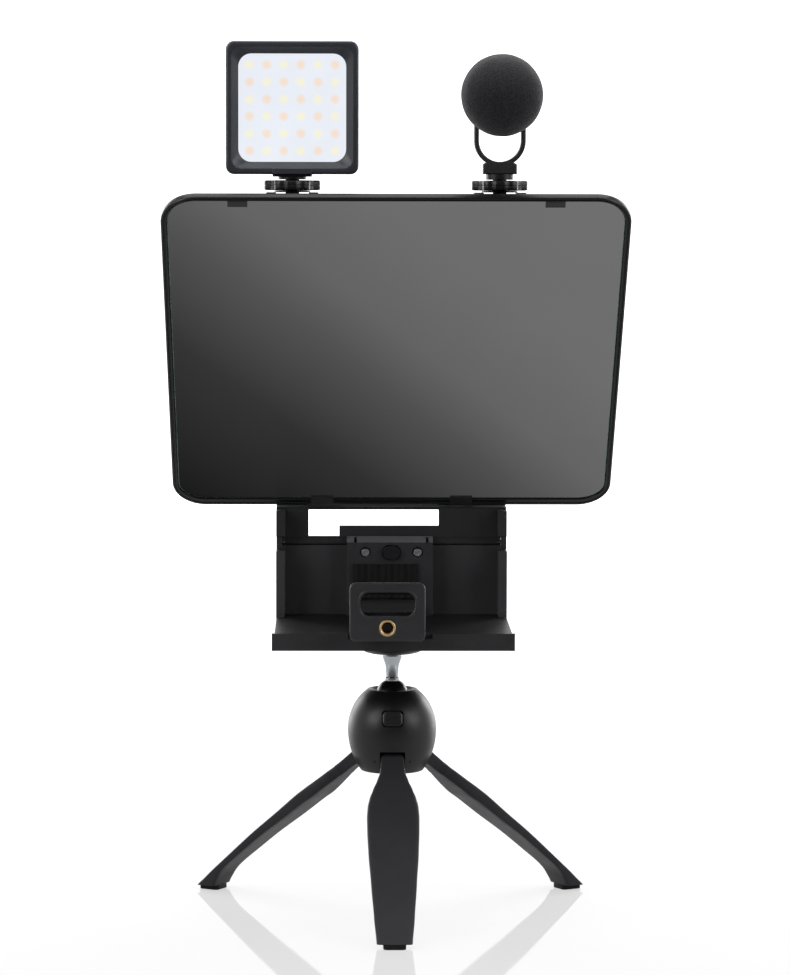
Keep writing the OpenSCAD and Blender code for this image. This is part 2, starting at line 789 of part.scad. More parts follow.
module cold_shoe(x) placed() color("#17181a") translate([x, 0, 0]) {
    profile_x([[-105.39, 329.6], [shoe_y0, 329.6], [shoe_y0, shoe_z], [-88, shoe_z],
        [-93.99, 318.2]], -shoe_hw, shoe_hw);
    difference() {
        box([-shoe_hw, shoe_y0, shoe_z], [shoe_hw, shoe_y1, rail_z]);
        box([-slot_hw, shoe_y0 + 1.4, slot_z0], [slot_hw, shoe_y1 + 1, slot_z1]);
        box([-rail_in, shoe_y0 - 1, slot_z0 + 1], [rail_in, shoe_y1 + 1, rail_z + 1]);
    }
}

module cold_shoe_left() cold_shoe(-shoe_x);
module cold_shoe_right() cold_shoe(shoe_x);

// foot plate, stud and washer that hold an accessory in a cold shoe
module shoe_foot() {
    box([-9.2, shoe_yc - 9, slot_z0 + 0.1], [9.2, shoe_yc + 9, slot_z1 - 0.2]);
    translate([0, shoe_yc, slot_z0 + 1]) cylinder(r = stud_r, h = wheel_z + wheel_t + 0.4 - slot_z0 - 1);
    translate([0, shoe_yc, rail_z + 0.1]) cylinder(r = 7.8, h = wheel_z - rail_z - 0.3);
}

// ---------- light ----------

module led_case() placed() color("#3f4148") translate([-shoe_x, 0, 0]) {
    zc = led_z0 + led_h / 2;
    difference() {
        front_plate(0, zc, led_w, led_h, led_r, led_split, led_y1);
        front_plate(0, zc, led_w - 2 * led_wall, led_h - 2 * led_wall, 2, led_split - 1, led_y1 - led_wall);
        rod_y(0, led_key_z, led_key_r + GAP, led_y1 - 3, led_y1 + 1);
        box([-led_w / 2 - 1, -90.6, zc - 4.6], [-led_w / 2 + 3, -87.2, zc + 4.6]);
    }
}

module led_bezel() placed() color("#3f4148") translate([-shoe_x, 0, 0]) {
    zc = led_z0 + led_h / 2;
    difference() {
        front_plate(0, zc, led_w, led_h, led_r, led_y0, led_split);
        front_plate(0, zc, led_win, led_win, 4, led_y0 - 1, led_split + 1);
        front_plate(0, zc, led_win + 4, led_win + 4, 4, led_split - 1.8, led_split + 1);
    }
}

module led_diffuser() placed() color("#eef2fb") translate([-shoe_x, 0, 0]) {
    front_plate(0, led_z0 + led_h / 2, led_win + 3.6, led_win + 3.6, 4, led_split - 1.8, led_split - 0.2);
}

module led_board() placed() color("#e9e9e4") translate([-shoe_x, 0, 0]) {
    front_plate(0, led_z0 + led_h / 2, 52, 52, 2, board_y, board_y + board_t);
}

module led_chips() placed() color("#f5e6a8") translate([-shoe_x, 0, led_z0 + led_h / 2]) {
    for (i = [0:led_rows - 1], k = [0:led_rows - 1]) {
        translate([(i - (led_rows - 1) / 2) * led_pitch, board_y - 0.5, (k - (led_rows - 1) / 2) * led_pitch])
            cube([2.8, 1, 2.8], center = true);
    }
}

module led_battery() placed() color("#7a8a99") translate([-shoe_x, 0, 0]) {
    front_plate(0, led_z0 + led_h / 2 + 6, 46, 30, 1.5, board_y + board_t, led_y1 - 2.4);
}

module led_button() placed() color("#26272b") {
    rod_y(-shoe_x, led_key_z, led_key_r, led_y1 - led_wall, led_y1 + 1.2);
}

module led_mount() placed() color("#26272b") translate([-shoe_x, 0, 0]) {
    shoe_foot();
    translate([0, shoe_yc, wheel_z + wheel_t + 0.4]) cylinder(r = 6.1, h = led_z0 - wheel_z - wheel_t - 0.4);
    box([-8.5, led_y0 + 2, led_z0 - 1], [8.5, led_y1 - 2, led_z0]);
}

module led_wheel() placed() color("#1d1e20") {
    translate([-shoe_x, shoe_yc, 0]) lobed_wheel(wheel_z);
}

// ---------- microphone ----------

module mic_tube() placed() color("#2c2d30") {
    difference() {
        rod_y(shoe_x, mic_z, mic_r, mic_y0, mic_y1);
        rod_y(shoe_x, mic_z, mic_r - 1.6, mic_y0 - 1, mic_y1 - 16);
        rod_y(shoe_x, mic_z, jack_r, mic_y1 - 14, mic_y1 + 1);
    }
}

module mic_capsule() placed() color("#8c8c90") {
    rod_y(shoe_x, mic_z, mic_r - 0.4, foam_y - 10, mic_y0);
}

module mic_foam() placed() color("#2a2a2d") {
    bore = mic_r + RUN;
    mouth = asin(bore / foam_r);
    translate([shoe_x, foam_y, mic_z]) rotate([-90, 0, 0]) rotate_extrude()
        polygon(concat(
            [[0, -10], [0, -foam_r]],
            arc(foam_r, foam_r, 0, -84, 90 - mouth, 28),
            [[bore, -10]]
        ));
}

module mic_lyre() placed() color("#232427") translate([shoe_x, shoe_yc + lyre_hl, 0]) {
    rotate([90, 0, 0]) linear_extrude(2 * lyre_hl) {
        difference() {
            translate([0, lyre_ring_z]) circle(r = lyre_r);
            translate([0, lyre_ring_z]) circle(r = lyre_r - lyre_t);
            translate([-20, lyre_ring_z]) square([40, 40]);
        }
        for (s = [-1, 1]) {
            translate([s > 0 ? lyre_r - lyre_t : -lyre_r, lyre_ring_z]) square([lyre_t, mic_z + 4 - lyre_ring_z]);
        }
        translate([-7.4, lyre_base]) square([14.8, 4.3]);
        difference() {
            translate([0, mic_z]) circle(r = lyre_r);
            translate([0, mic_z]) circle(r = mic_r + RUN);
            translate([-20, mic_z - 20]) square([40, 16.5]);
            translate([-20, mic_z + 4]) square([40, 20]);
        }
    }
}

module mic_foot() placed() color("#26272b") translate([shoe_x, 0, 0]) {
    shoe_foot();
    translate([0, shoe_yc, wheel_z + wheel_t + 0.4]) cylinder(r = 6, h = lyre_base - wheel_z - wheel_t - 0.4);
}

module mic_wheel() placed() color("#1d1e20") {
    translate([shoe_x, shoe_yc, 0]) lobed_wheel(wheel_z);
}

module mic_jack() placed() color("goldenrod") {
    difference() {
        rod_y(shoe_x, mic_z, jack_r, mic_y1 - 14, mic_y1);
        rod_y(shoe_x, mic_z, jack_bore, mic_y1 - 13, mic_y1 + 1);
    }
}

// ---------- parts ----------

hub_shell();
hub_base_cap();
ball_seat();
lock_button();
button_spring();
leg_pins();
leg_front();
leg_left();
leg_right();
foot_front();
foot_left();
foot_right();
ball();
ball_stud();
tray();
tray_insert();
back_panel();
clamp_rail();
rear_jaw();
rear_jaw_pad();
jaw_screws();
clamp_button();
clamp_button_spring();
front_jaw();
front_jaw_pad();
jaw_insert();
fold_pins();
upper_panel();
rear_upright();
upright_screws();
rear_rail();
frame_hinge_pins();
rear_spine();
rear_lower_pad();
rear_stud();
rear_knob();
rear_top_jaw();
rear_top_pad();
frame_ring();
glass();
glass_clips();
cold_shoe_left();
cold_shoe_right();
led_case();
led_bezel();
led_diffuser();
led_board();
led_chips();
led_battery();
led_button();
led_mount();
led_wheel();
mic_tube();
mic_capsule();
mic_foam();
mic_lyre();
mic_foot();
mic_wheel();
mic_jack();
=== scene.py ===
import json
import math

import bmesh
import bpy
from mathutils import Matrix, Vector, noise


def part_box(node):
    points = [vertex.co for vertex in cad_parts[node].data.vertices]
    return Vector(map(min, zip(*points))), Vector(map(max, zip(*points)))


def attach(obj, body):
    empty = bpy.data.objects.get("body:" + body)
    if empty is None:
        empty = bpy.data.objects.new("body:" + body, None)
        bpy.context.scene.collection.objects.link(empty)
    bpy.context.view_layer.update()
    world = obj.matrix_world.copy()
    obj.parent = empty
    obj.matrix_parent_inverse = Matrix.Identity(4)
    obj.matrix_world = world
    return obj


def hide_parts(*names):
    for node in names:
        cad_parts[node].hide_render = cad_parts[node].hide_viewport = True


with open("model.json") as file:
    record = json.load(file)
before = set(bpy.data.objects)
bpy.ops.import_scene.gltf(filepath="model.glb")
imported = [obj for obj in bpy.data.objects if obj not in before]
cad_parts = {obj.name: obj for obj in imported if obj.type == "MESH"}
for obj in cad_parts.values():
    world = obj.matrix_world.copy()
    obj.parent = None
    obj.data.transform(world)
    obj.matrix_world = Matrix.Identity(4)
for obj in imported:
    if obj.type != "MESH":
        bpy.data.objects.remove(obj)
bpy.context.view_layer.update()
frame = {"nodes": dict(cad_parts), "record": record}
nodes = frame["nodes"]
MM = 0.001


# ---------- small geometry tools (millimetres in, metres in the mesh) ----------

def box(node):
    lo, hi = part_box(node)
    return lo / MM, hi / MM


def mid(node):
    lo, hi = box(node)
    return (lo + hi) / 2


HUB = mid("hub_shell")
AX, AY = HUB.x, HUB.y            # the tripod's axis


def arc(cx, cy, rx, ry, a0, a1, n):
    return [(cx + rx * math.cos(math.radians(a0 + (a1 - a0) * i / n)),
             cy + ry * math.sin(math.radians(a0 + (a1 - a0) * i / n))) for i in range(n + 1)]


def round_rect(cx, cy, w, h, r, n=8):
    r = min(r, w / 2 - 1e-3, h / 2 - 1e-3)
    x, y = w / 2 - r, h / 2 - r
    return (arc(cx + x, cy + y, r, r, 0, 90, n) + arc(cx - x, cy + y, r, r, 90, 180, n)
            + arc(cx - x, cy - y, r, r, 180, 270, n) + arc(cx + x, cy - y, r, r, 270, 360, n))


def fillet(points, r, closed=True, n=4):
    """The same outline with every corner rounded to radius r (or to what fits)."""
    out, count = [], len(points)
    for i, p in enumerate(points):
        if not closed and i in (0, count - 1):
            out.append(tuple(p))
            continue
        p = Vector(p[:2])
        a = Vector(points[i - 1][:2]) - p
        b = Vector(points[(i + 1) % count][:2]) - p
        la, lb = a.length, b.length
        if la < 1e-6 or lb < 1e-6:
            continue
        angle = a.angle(b)
        if angle > math.radians(172):
            out.append(tuple(p))
            continue
        cut = min(r / math.tan(angle / 2), la * 0.45, lb * 0.45)
        s, e = p + a / la * cut, p + b / lb * cut
        for k in range(n + 1):
            t = k / n
            q = s * (1 - t) ** 2 + p * 2 * t * (1 - t) + e * t * t
            out.append((q.x, q.y))
    return out


def smooth(me, angle=32):
    me.shade_smooth()
    me.set_sharp_from_angle(angle=math.radians(angle))
    return me


def from_bmesh(bm, name, angle=32):
    bmesh.ops.recalc_face_normals(bm, faces=bm.faces)
    me = bpy.data.meshes.new(name)
    bm.to_mesh(me)
    bm.free()
    return smooth(me, angle)


PLANE_Y = Matrix(((1, 0, 0, 0), (0, 0, -1, 0), (0, 1, 0, 0),
                  (0, 0, 0, 1)))   # outline (x, z), thick along Y
PLANE_X = Matrix(((0, 0, 1, 0), (1, 0, 0, 0), (0, 1, 0, 0), (0, 0, 0, 1)))   # outline (y, z), thick along X
PLANE_Z = Matrix.Identity(4)                                                   # outline (x, y), thick along Z


def slab(name, loops, lo, hi, bevel=0.4, plane=PLANE_Y, res=3):
    """A solid with that outline (and holes) between two levels, with rounded edges."""
    cu = bpy.data.curves.new(name, "CURVE")
    cu.dimensions = "2D"
    cu.fill_mode = "BOTH"
    for loop in loops:
        sp = cu.splines.new("POLY")
        sp.points.add(len(loop) - 1)
        for p, (x, y) in zip(sp.points, loop):
            p.co = (x, y, 0, 1)
        sp.use_cyclic_u = True
    bevel = min(bevel, (hi - lo) / 2 - 1e-3)
    cu.extrude = (hi - lo) / 2 - bevel
    cu.bevel_depth = bevel
    cu.bevel_resolution = res
    cu.offset = -bevel
    ob = bpy.data.objects.new(name, cu)
    bpy.context.scene.collection.objects.link(ob)
    dg = bpy.context.evaluated_depsgraph_get()
    me = bpy.data.meshes.new_from_object(ob.evaluated_get(dg))
    bpy.data.objects.remove(ob)
    bpy.data.curves.remove(cu)
    level = (lo + hi) / 2
    shift = Matrix.Translation((0, 0, -level)) if plane is PLANE_Y else Matrix.Translation((0, 0, level))
    me.transform(Matrix.Scale(MM, 4) @ plane @ shift)
    bm = bmesh.new()
    bm.from_mesh(me)
    bmesh.ops.remove_doubles(bm, verts=bm.verts, dist=2e-6)
    bpy.data.meshes.remove(me)
    return from_bmesh(bm, name)


def lathe(name, profile, centre, axis="Z", seg=96, closed=False, angle=32):
    """Turns a profile of (radius, height along the axis) points round an axis through centre."""
    bm = bmesh.new()
    rings = []
    for r, h in profile:
        if r < 1e-4:
            rings.append([bm.verts.new((0, 0, h))])
        else:
            rings.append([bm.verts.new((r * math.cos(2 * math.pi * i / seg),
                                        r * math.sin(2 * math.pi * i / seg), h))
                          for i in range(seg)])
    pairs = list(zip(rings, rings[1:])) + ([(rings[-1], rings[0])] if closed else [])
    for a, b in pairs:
        for i in range(seg):
            j = (i + 1) % seg
            f = [a[i % len(a)], a[j % len(a)], b[j % len(b)], b[i % len(b)]]
            f = [v for k, v in enumerate(f) if v not in f[:k]]
            if len(f) > 2:
                bm.faces.new(f)
    turn = {"Z": Matrix.Identity(4), "Y": Matrix.Rotation(-math.pi / 2, 4, "X"),
            "X": Matrix.Rotation(math.pi / 2, 4, "Y")}[axis]
    bmesh.ops.transform(bm, verts=bm.verts, matrix=Matrix.Scale(MM, 4) @ Matrix.Translation(centre) @ turn)
    return from_bmesh(bm, name, angle)


def loft(name, sections, angle=40, matrix=Matrix.Identity(4)):
    """Skins a list of equal-length closed sections of 3-D points and caps both ends."""
    bm = bmesh.new()
    rings = [[bm.verts.new(matrix @ (Vector(p) * MM)) for p in s] for s in sections]
    n = len(rings[0])
    for a, b in zip(rings, rings[1:]):
        for i in range(n):
            bm.faces.new((a[i], a[(i + 1) % n], b[(i + 1) % n], b[i]))
    for ring in (rings[0], rings[-1]):
        c = bm.verts.new(sum((v.co for v in ring), Vector()) / n)
        for i in range(n):
            bm.faces.new((ring[i], ring[(i + 1) % n], c))
    return from_bmesh(bm, name, angle)


def join(name, *meshes):
    bm = bmesh.new()
    for me in meshes:
        bm.from_mesh(me)
    out = bpy.data.meshes.new(name)
    bm.to_mesh(out)
    bm.free()
    return out


def cut(me, cutters, name):
    """Boolean difference, solved once and kept as a plain mesh."""
    ob = bpy.data.objects.new(name, me)
    bpy.context.scene.collection.objects.link(ob)
    made = []
    for c in cutters:
        co = bpy.data.objects.new("cutter", c)
        bpy.context.scene.collection.objects.link(co)
        made.append(co)
        mod = ob.modifiers.new("cut", "BOOLEAN")
        mod.operation, mod.solver, mod.object = "DIFFERENCE", "EXACT", co
    bpy.context.view_layer.update()
    dg = bpy.context.evaluated_depsgraph_get()
    out = bpy.data.meshes.new_from_object(ob.evaluated_get(dg))
    for o in [ob] + made:
        bpy.data.objects.remove(o)
    return smooth(out)


# ---------- materials ----------

def rgb(h):
    v = [int(h[i:i + 2], 16) / 255 for i in (1, 3, 5)]
    return [x / 12.92 if x <= 0.04045 else ((x + 0.055) / 1.055) ** 2.4 for x in v] + [1]


def base_tree(name):
    m = bpy.data.materials.new(name)
    m.use_nodes = True
    nt = m.node_tree
    nt.nodes.clear()
    out = nt.nodes.new("ShaderNodeOutputMaterial")
    bsdf = nt.nodes.new("ShaderNodeBsdfPrincipled")
    nt.links.new(bsdf.outputs[0], out.inputs[0])
    co = nt.nodes.new("ShaderNodeTexCoord")
    return m, nt, out, bsdf, co.outputs["Object"]


def grain(nt, co, scale, detail=3.0, rough=0.6):
    n = nt.nodes.new("ShaderNodeTexNoise")
    n.inputs["Scale"].default_value = scale
    n.inputs["Detail"].default_value = detail
    n.inputs["Roughness"].default_value = rough
    nt.links.new(co, n.inputs["Vector"])
    return n.outputs["Fac"]


def remap(nt, value, lo, hi, from_lo=0.3, from_hi=0.7):
    n = nt.nodes.new("ShaderNodeMapRange")
    n.inputs["From Min"].default_value = from_lo
    n.inputs["From Max"].default_value = from_hi
    n.inputs["To Min"].default_value = lo
    n.inputs["To Max"].default_value = hi
    nt.links.new(value, n.inputs["Value"])
    return n.outputs[0]


def mixed(nt, fac, a, b):
    n = nt.nodes.new("ShaderNodeMix")
    n.data_type = "RGBA"
    nt.links.new(fac, n.inputs["Factor"])
    for socket, v in ((n.inputs["A"], a), (n.inputs["B"], b)):
        if isinstance(v, (list, tuple)):
            socket.default_value = v
        else:
            nt.links.new(v, socket)
    return n.outputs["Result"]


def finish_of(name, colour, rough=0.4, metal=0.0, spec=0.5, vary=0.12, fine=900, bump=0.05, soft=0.3,
              wear=0.05,
              top=None):
    """A plain painted, moulded or machined finish: cloudy colour, uneven roughness, fine grain, soft edges.

    top is a painted tone for the faces that look upwards, where it differs: painted light or painted shade
    for how light falls on them.
    """
    m, nt, out, bsdf, co = base_tree(name)
    c = rgb(colour)
    dark = [x * (1 - vary) for x in c[:3]] + [1]
    light = [min(1, x * (1 + vary) + vary * 0.004) for x in c[:3]] + [1]
    cloud = grain(nt, co, 38, 4)
    tone = mixed(nt, remap(nt, cloud, 0, 1), dark, light)
    # painted light and shade: faces that look upwards blend towards the top colour
    if top:
        face = nt.nodes.new("ShaderNodeTexCoord")
        part = nt.nodes.new("ShaderNodeSeparateXYZ")
        nt.links.new(face.outputs["Normal"], part.inputs[0])
        tone = mixed(nt, remap(nt, part.outputs["Z"], 0, 1, 0.5, 0.9), tone, rgb(top))
    nt.links.new(tone, bsdf.inputs["Base Color"])
    nt.links.new(remap(nt, grain(nt, co, 120, 5), max(rough - wear, 0.02), rough + wear),
                 bsdf.inputs["Roughness"])
    bsdf.inputs["Metallic"].default_value = metal
    bsdf.inputs["Specular IOR Level"].default_value = spec
    bu = nt.nodes.new("ShaderNodeBump")
    bu.inputs["Strength"].default_value = bump
    bu.inputs["Distance"].default_value = 0.0004
    nt.links.new(grain(nt, co, fine, 2), bu.inputs["Height"])
    if soft:
        be = nt.nodes.new("ShaderNodeBevel")
        be.samples = 4
        be.inputs["Radius"].default_value = soft * MM
        nt.links.new(be.outputs[0], bu.inputs["Normal"])
    nt.links.new(bu.outputs[0], bsdf.inputs["Normal"])
    return m


M = {
    "tripod_shell": finish_of("hub plastic", "#0e0e10", 0.4, vary=0.1, bump=0.03, fine=1500, spec=0.32),
    "leg_plastic": finish_of("leg plastic", "#242427", 0.46, vary=0.1, bump=0.06, fine=1300, spec=0.14),
    "rubber": finish_of("rubber", "#080808", 0.7, vary=0.2, bump=0.12, fine=700, spec=0.2),
    "steel": finish_of("zinc steel", "#c3c5c8", 0.3, 1.0, vary=0.06, bump=0.04, fine=2500),
    "spring": finish_of("spring steel", "#b3b5b8", 0.26, 1.0, vary=0.06, soft=0),
    "seat": finish_of("seat plastic", "#d5d5cf", 0.45, vary=0.04),
    "ball": finish_of("black anodised ball", "#0d0d0f", 0.28, 0.2, vary=0.1, spec=0.35),
    "stud": finish_of("chrome", "#a9acb0", 0.07, 1.0, vary=0.03, bump=0.01, wear=0.02),
    "brass": finish_of("brass", "#f0d2a0", 0.36, 1.0, vary=0.08, bump=0.03, fine=1800),
    "clamp_plastic": finish_of("textured plastic", "#262628", 0.42, vary=0.14, bump=0.09, fine=1100,
                               soft=0.35, spec=0.3),
    "button": finish_of("button plastic", "#1b1b1d", 0.28, vary=0.1, bump=0.02, spec=0.35),
    "frame_metal": finish_of("frame metal", "#131415", 0.3, 0.1, vary=0.08, bump=0.03, soft=0.2, spec=0.28),
    "lamp_shell": finish_of("lamp plastic", "#2a2c32", 0.4, vary=0.1, bump=0.06, spec=0.4),
    "board": finish_of("white board", "#e9e9e4", 0.5, vary=0.04),
    "chip": finish_of("phosphor", "#f4e3a0", 0.4, vary=0.06),
    "cell": finish_of("cell wrap", "#74828f", 0.35, vary=0.06),
    "mic_metal": finish_of("microphone metal", "#0f0f10", 0.32, 0.4, vary=0.1, spec=0.4),
    "mic_capsule": finish_of("capsule steel", "#8c8c90", 0.35, 1.0, vary=0.1),
}


def glass_material():
    """Half-mirror: smoky grey from a painted reflection, lighter towards its upper right, nearly black at its
    lower left.

    The tone is a painted glow that rides the pane and stands in for the reflection, and the pane is all but
    opaque.
    """
    m, nt, out, bsdf, co = base_tree("beam-splitter glass")
    sep = nt.nodes.new("ShaderNodeSeparateXYZ")
    nt.links.new(co, sep.inputs[0])
    across = remap(nt, sep.outputs["X"], 0, 0.5, -0.098, 0.098)
    up = remap(nt, sep.outputs["Y"], 0, 0.45, 0.004, 0.2)
    total = nt.nodes.new("ShaderNodeMath")
    nt.links.new(across, total.inputs[0])
    nt.links.new(up, total.inputs[1])
    ramp = nt.nodes.new("ShaderNodeValToRGB")
    stops = [(0.0, "#0b0b0b"), (0.25, "#313131"), (0.42, "#525252"), (0.52, "#656565"), (0.7, "#6e6e6e"),
             (0.95, "#717171")]
    while len(ramp.color_ramp.elements) < len(stops):
        ramp.color_ramp.elements.new(0.5)
    for stop, (at, colour) in zip(ramp.color_ramp.elements, stops):
        stop.position, stop.color = at, rgb(colour)
    nt.links.new(total.outputs[0], ramp.inputs[0])
    tone = ramp.outputs[0]
    cloud = remap(nt, grain(nt, co, 9, 2), 0, 1)
    tint = nt.nodes.new("ShaderNodeMix")
    tint.data_type = "RGBA"
    tint.blend_type = "MULTIPLY"
    tint.inputs["Factor"].default_value = 0.05
    nt.links.new(tone, tint.inputs["A"])
    nt.links.new(cloud, tint.inputs["B"])
    # painted reflection: the ramp's greys glow from the pane as emission
    nt.links.new(tint.outputs["Result"], bsdf.inputs["Emission Color"])
    bsdf.inputs["Emission Strength"].default_value = 0.97
    bsdf.inputs["Base Color"].default_value = rgb("#050505")
    nt.links.new(remap(nt, grain(nt, co, 30, 2), 0.3, 0.36), bsdf.inputs["Roughness"])
    bsdf.inputs["Specular IOR Level"].default_value = 0.04
    clear = nt.nodes.new("ShaderNodeBsdfTransparent")
    clear.inputs[0].default_value = (0.8, 0.84, 0.84, 1)
    mix = nt.nodes.new("ShaderNodeMixShader")
    mix.inputs[0].default_value = 0.0015
    nt.links.new(bsdf.outputs[0], mix.inputs[1])
    nt.links.new(clear.outputs[0], mix.inputs[2])
    nt.links.new(mix.outputs[0], out.inputs[0])
    return m


def glass_edge_material():
    m, nt, out, bsdf, co = base_tree("ground glass edge")
    nt.links.new(mixed(nt, remap(nt, grain(nt, co, 60, 3), 0, 1), rgb("#6f8f8b"), rgb("#a9c4bf")),
                 bsdf.inputs["Base Color"])
    nt.links.new(remap(nt, grain(nt, co, 400, 3), 0.25, 0.4), bsdf.inputs["Roughness"])
    return m


def diffuser_material(pitch, rows):
    """Glowing front with a soft warm spot over every chip; yellow and orange chips take turns."""
    m, nt, out, bsdf, co = base_tree("lit diffuser")

    def node(op, a, b=None):
        n = nt.nodes.new("ShaderNodeMath")
        n.operation = op
        for i, v in enumerate((a, b)):
            if v is None:
                continue
            if isinstance(v, (int, float)):
                n.inputs[i].default_value = v
            else:
                nt.links.new(v, n.inputs[i])
        return n.outputs[0]

    sep = nt.nodes.new("ShaderNodeSeparateXYZ")
    nt.links.new(co, sep.inputs[0])
    u = node("ADD", node("DIVIDE", sep.outputs["X"], pitch * MM), rows / 2)
    v = node("ADD", node("DIVIDE", sep.outputs["Z"], pitch * MM), rows / 2)
    du = node("SUBTRACT", node("FRACT", u), 0.5)
    dv = node("SUBTRACT", node("FRACT", v), 0.5)
    dist = node("SQRT", node("ADD", node("MULTIPLY", du, du), node("MULTIPLY", dv, dv)))
    spot = remap(nt, dist, 0.9, 0, 0.14, 0.34)
    turn = node("MODULO", node("ADD", node("FLOOR", u), node("FLOOR", v)), 2)
    warm = mixed(nt, turn, rgb("#fbe3cd"), rgb("#fbf7da"))
    face = mixed(nt, spot, rgb("#eef2fb"), warm)
    cloud = remap(nt, grain(nt, co, 40, 2), 0.93, 0.97)
    bsdf.inputs["Base Color"].default_value = rgb("#202124")
    bsdf.inputs["Specular IOR Level"].default_value = 0.1
    nt.links.new(face, bsdf.inputs["Emission Color"])
    nt.links.new(cloud, bsdf.inputs["Emission Strength"])
    nt.links.new(remap(nt, grain(nt, co, 300, 2), 0.35, 0.5), bsdf.inputs["Roughness"])
    return m


def foam_material():
    """Open-cell foam: near-black, matt, speckled with pores that carry painted shade in their hollows, with a
    soft pale rim.
    """
    m, nt, out, bsdf, co = base_tree("foam")
    cells = nt.nodes.new("ShaderNodeTexVoronoi")
    cells.inputs["Scale"].default_value = 1500
    nt.links.new(co, cells.inputs["Vector"])
    # painted shade: the colour darkens towards each cell's middle, where the bump makes a hollow
    tone = mixed(nt, remap(nt, cells.outputs["Distance"], 0, 1, 0.1, 0.7), rgb("#111112"), rgb("#242427"))
    nt.links.new(tone, bsdf.inputs["Base Color"])
    nt.links.new(remap(nt, grain(nt, co, 200, 3), 0.86, 1.0), bsdf.inputs["Roughness"])
    bsdf.inputs["Specular IOR Level"].default_value = 0.12
    bsdf.inputs["Sheen Weight"].default_value = 0.12
    bsdf.inputs["Sheen Roughness"].default_value = 0.5
    bu = nt.nodes.new("ShaderNodeBump")
    bu.inputs["Strength"].default_value = 0.5
    bu.inputs["Distance"].default_value = 0.0003
    nt.links.new(cells.outputs["Distance"], bu.inputs["Height"])
    nt.links.new(bu.outputs[0], bsdf.inputs["Normal"])
    return m


M["glass"] = glass_material()
M["glass_edge"] = glass_edge_material()
M["foam"] = foam_material()
LED_PITCH, LED_ROWS = 7.4, 6
M["diffuser"] = diffuser_material(LED_PITCH, LED_ROWS)

slot_of = {s["node"]: s["material_slot"] for s in frame["record"]["subparts"]}
body_of = {n: b for b, ns in frame["record"]["behaviour"]["bodies"].items() for n in ns}
moulded = {"vary": 0.14, "bump": 0.09, "fine": 1100, "soft": 0.35, "spec": 0.3}
# painted light: the rear jaw's upward faces take a pale painted tone, #5c5c5e, for light falling on its top
# strip
M["plastic_with_painted_top_light"] = finish_of("plastic with painted light on its top", "#2c2c2e", 0.42, top="#5c5c5e", **moulded)
M["black_steel"] = finish_of("blackened steel", "#1a1a1c", 0.4, 0.6, vary=0.1, soft=0.1)
# painted shade: the tray's upward faces take a darker painted tone, #0e0e10
M["tray_plastic_with_painted_top_shade"] = finish_of("tray plastic with painted shade on top", "#262628", 0.42, top="#0e0e10", **moulded)
# painted light: the back panel takes a lighter copy of the moulded plastic, standing for how light falls on
# it
M["panel_plastic_painted_lighter"] = finish_of("panel plastic painted lighter", "#333335", 0.42, **moulded)
special = {"rear_jaw": "plastic_with_painted_top_light", "leg_pins": "black_steel",
           "tray": "tray_plastic_with_painted_top_shade", "back_panel": "panel_plastic_painted_lighter"}
for n, ob in nodes.items():
    ob.data.materials.clear()
    ob.data.materials.append(M[special.get(n, slot_of[n])])


def part_of(name, me, node, origin=None):
    """An extra piece of detail on the body of a CAD node, with that node's slot and finish."""
    if origin is not None:
        me.transform(Matrix.Translation(-Vector(origin)))
    ob = bpy.data.objects.new(name.replace(" ", "_"), me)
    if origin is not None:
        ob.location = origin
    bpy.context.scene.collection.objects.link(ob)
    me.materials.clear()
    me.materials.append(M[slot_of[node]])
    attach(ob, body_of[node])
    return ob


def add(name, me, node, origin=None):
    """The visual piece that stands for a CAD node."""
    ob = part_of(name, me, node, origin)
    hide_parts(node)
    return ob


# ---------- tripod ----------

lo, hi = box("hub_shell")
hub_r = (hi.x - lo.x) / 2
z0, z1 = lo.z, hi.z
WAIST = 83.5
low = math.degrees(math.acos(14.2 / hub_r))
top = math.degrees(math.acos(11.6 / hub_r))
outer = (arc(0, WAIST, hub_r, (WAIST - z0) / math.sin(math.radians(low)), -low, 0, 22)
         + arc(0, WAIST, hub_r, (z1 - 0.4 - WAIST) / math.sin(math.radians(top)), 0, top, 26)[1:])
ball_z = z1 - 3.0
socket = arc(0, ball_z, 7.62, 7.62, 14, -60, 14)
profile = (fillet([(0, z0), (12.6, z0), outer[0], outer[1]], 0.8, closed=False) + outer[2:]
           + [(11.4, z1 - 0.12), (11.0, z1), (10.5, z1), (9.9, z1 - 0.25), (9.4, z1 - 0.8), (8.9, z1 - 1.1)]
           + socket + [(0, ball_z - 12)])
hub = lathe("hub", profile, (AX, AY, 0), seg=160)
cutters = []
lock = mid("lock_button")
lock_lo, lock_hi = box("lock_button")
cutters.append(slab("pocket", [round_rect(lock.x, lock.z, 10.0, 7.4, 1.9)], lock_lo.y - 4, lock_lo.y + 9,
                    0.2))
legs = {}
for name in ("front", "left", "right"):
    c = mid("foot_" + name)
    legs[name] = math.atan2(c.y - AY, c.x - AX)
    leg_slot = slab("slot", [fillet([(9.2, 60), (26, 60), (26, 75), (9.2, 75)], 1.2)], -5.7, 5.7, 0.3)
    leg_slot.transform(Matrix.Translation((AX * MM, AY * MM, 0)) @ Matrix.Rotation(legs[name], 4, "Z"))
    cutters.append(leg_slot)
add("hub", cut(hub, cutters, "hub"), "hub_shell")

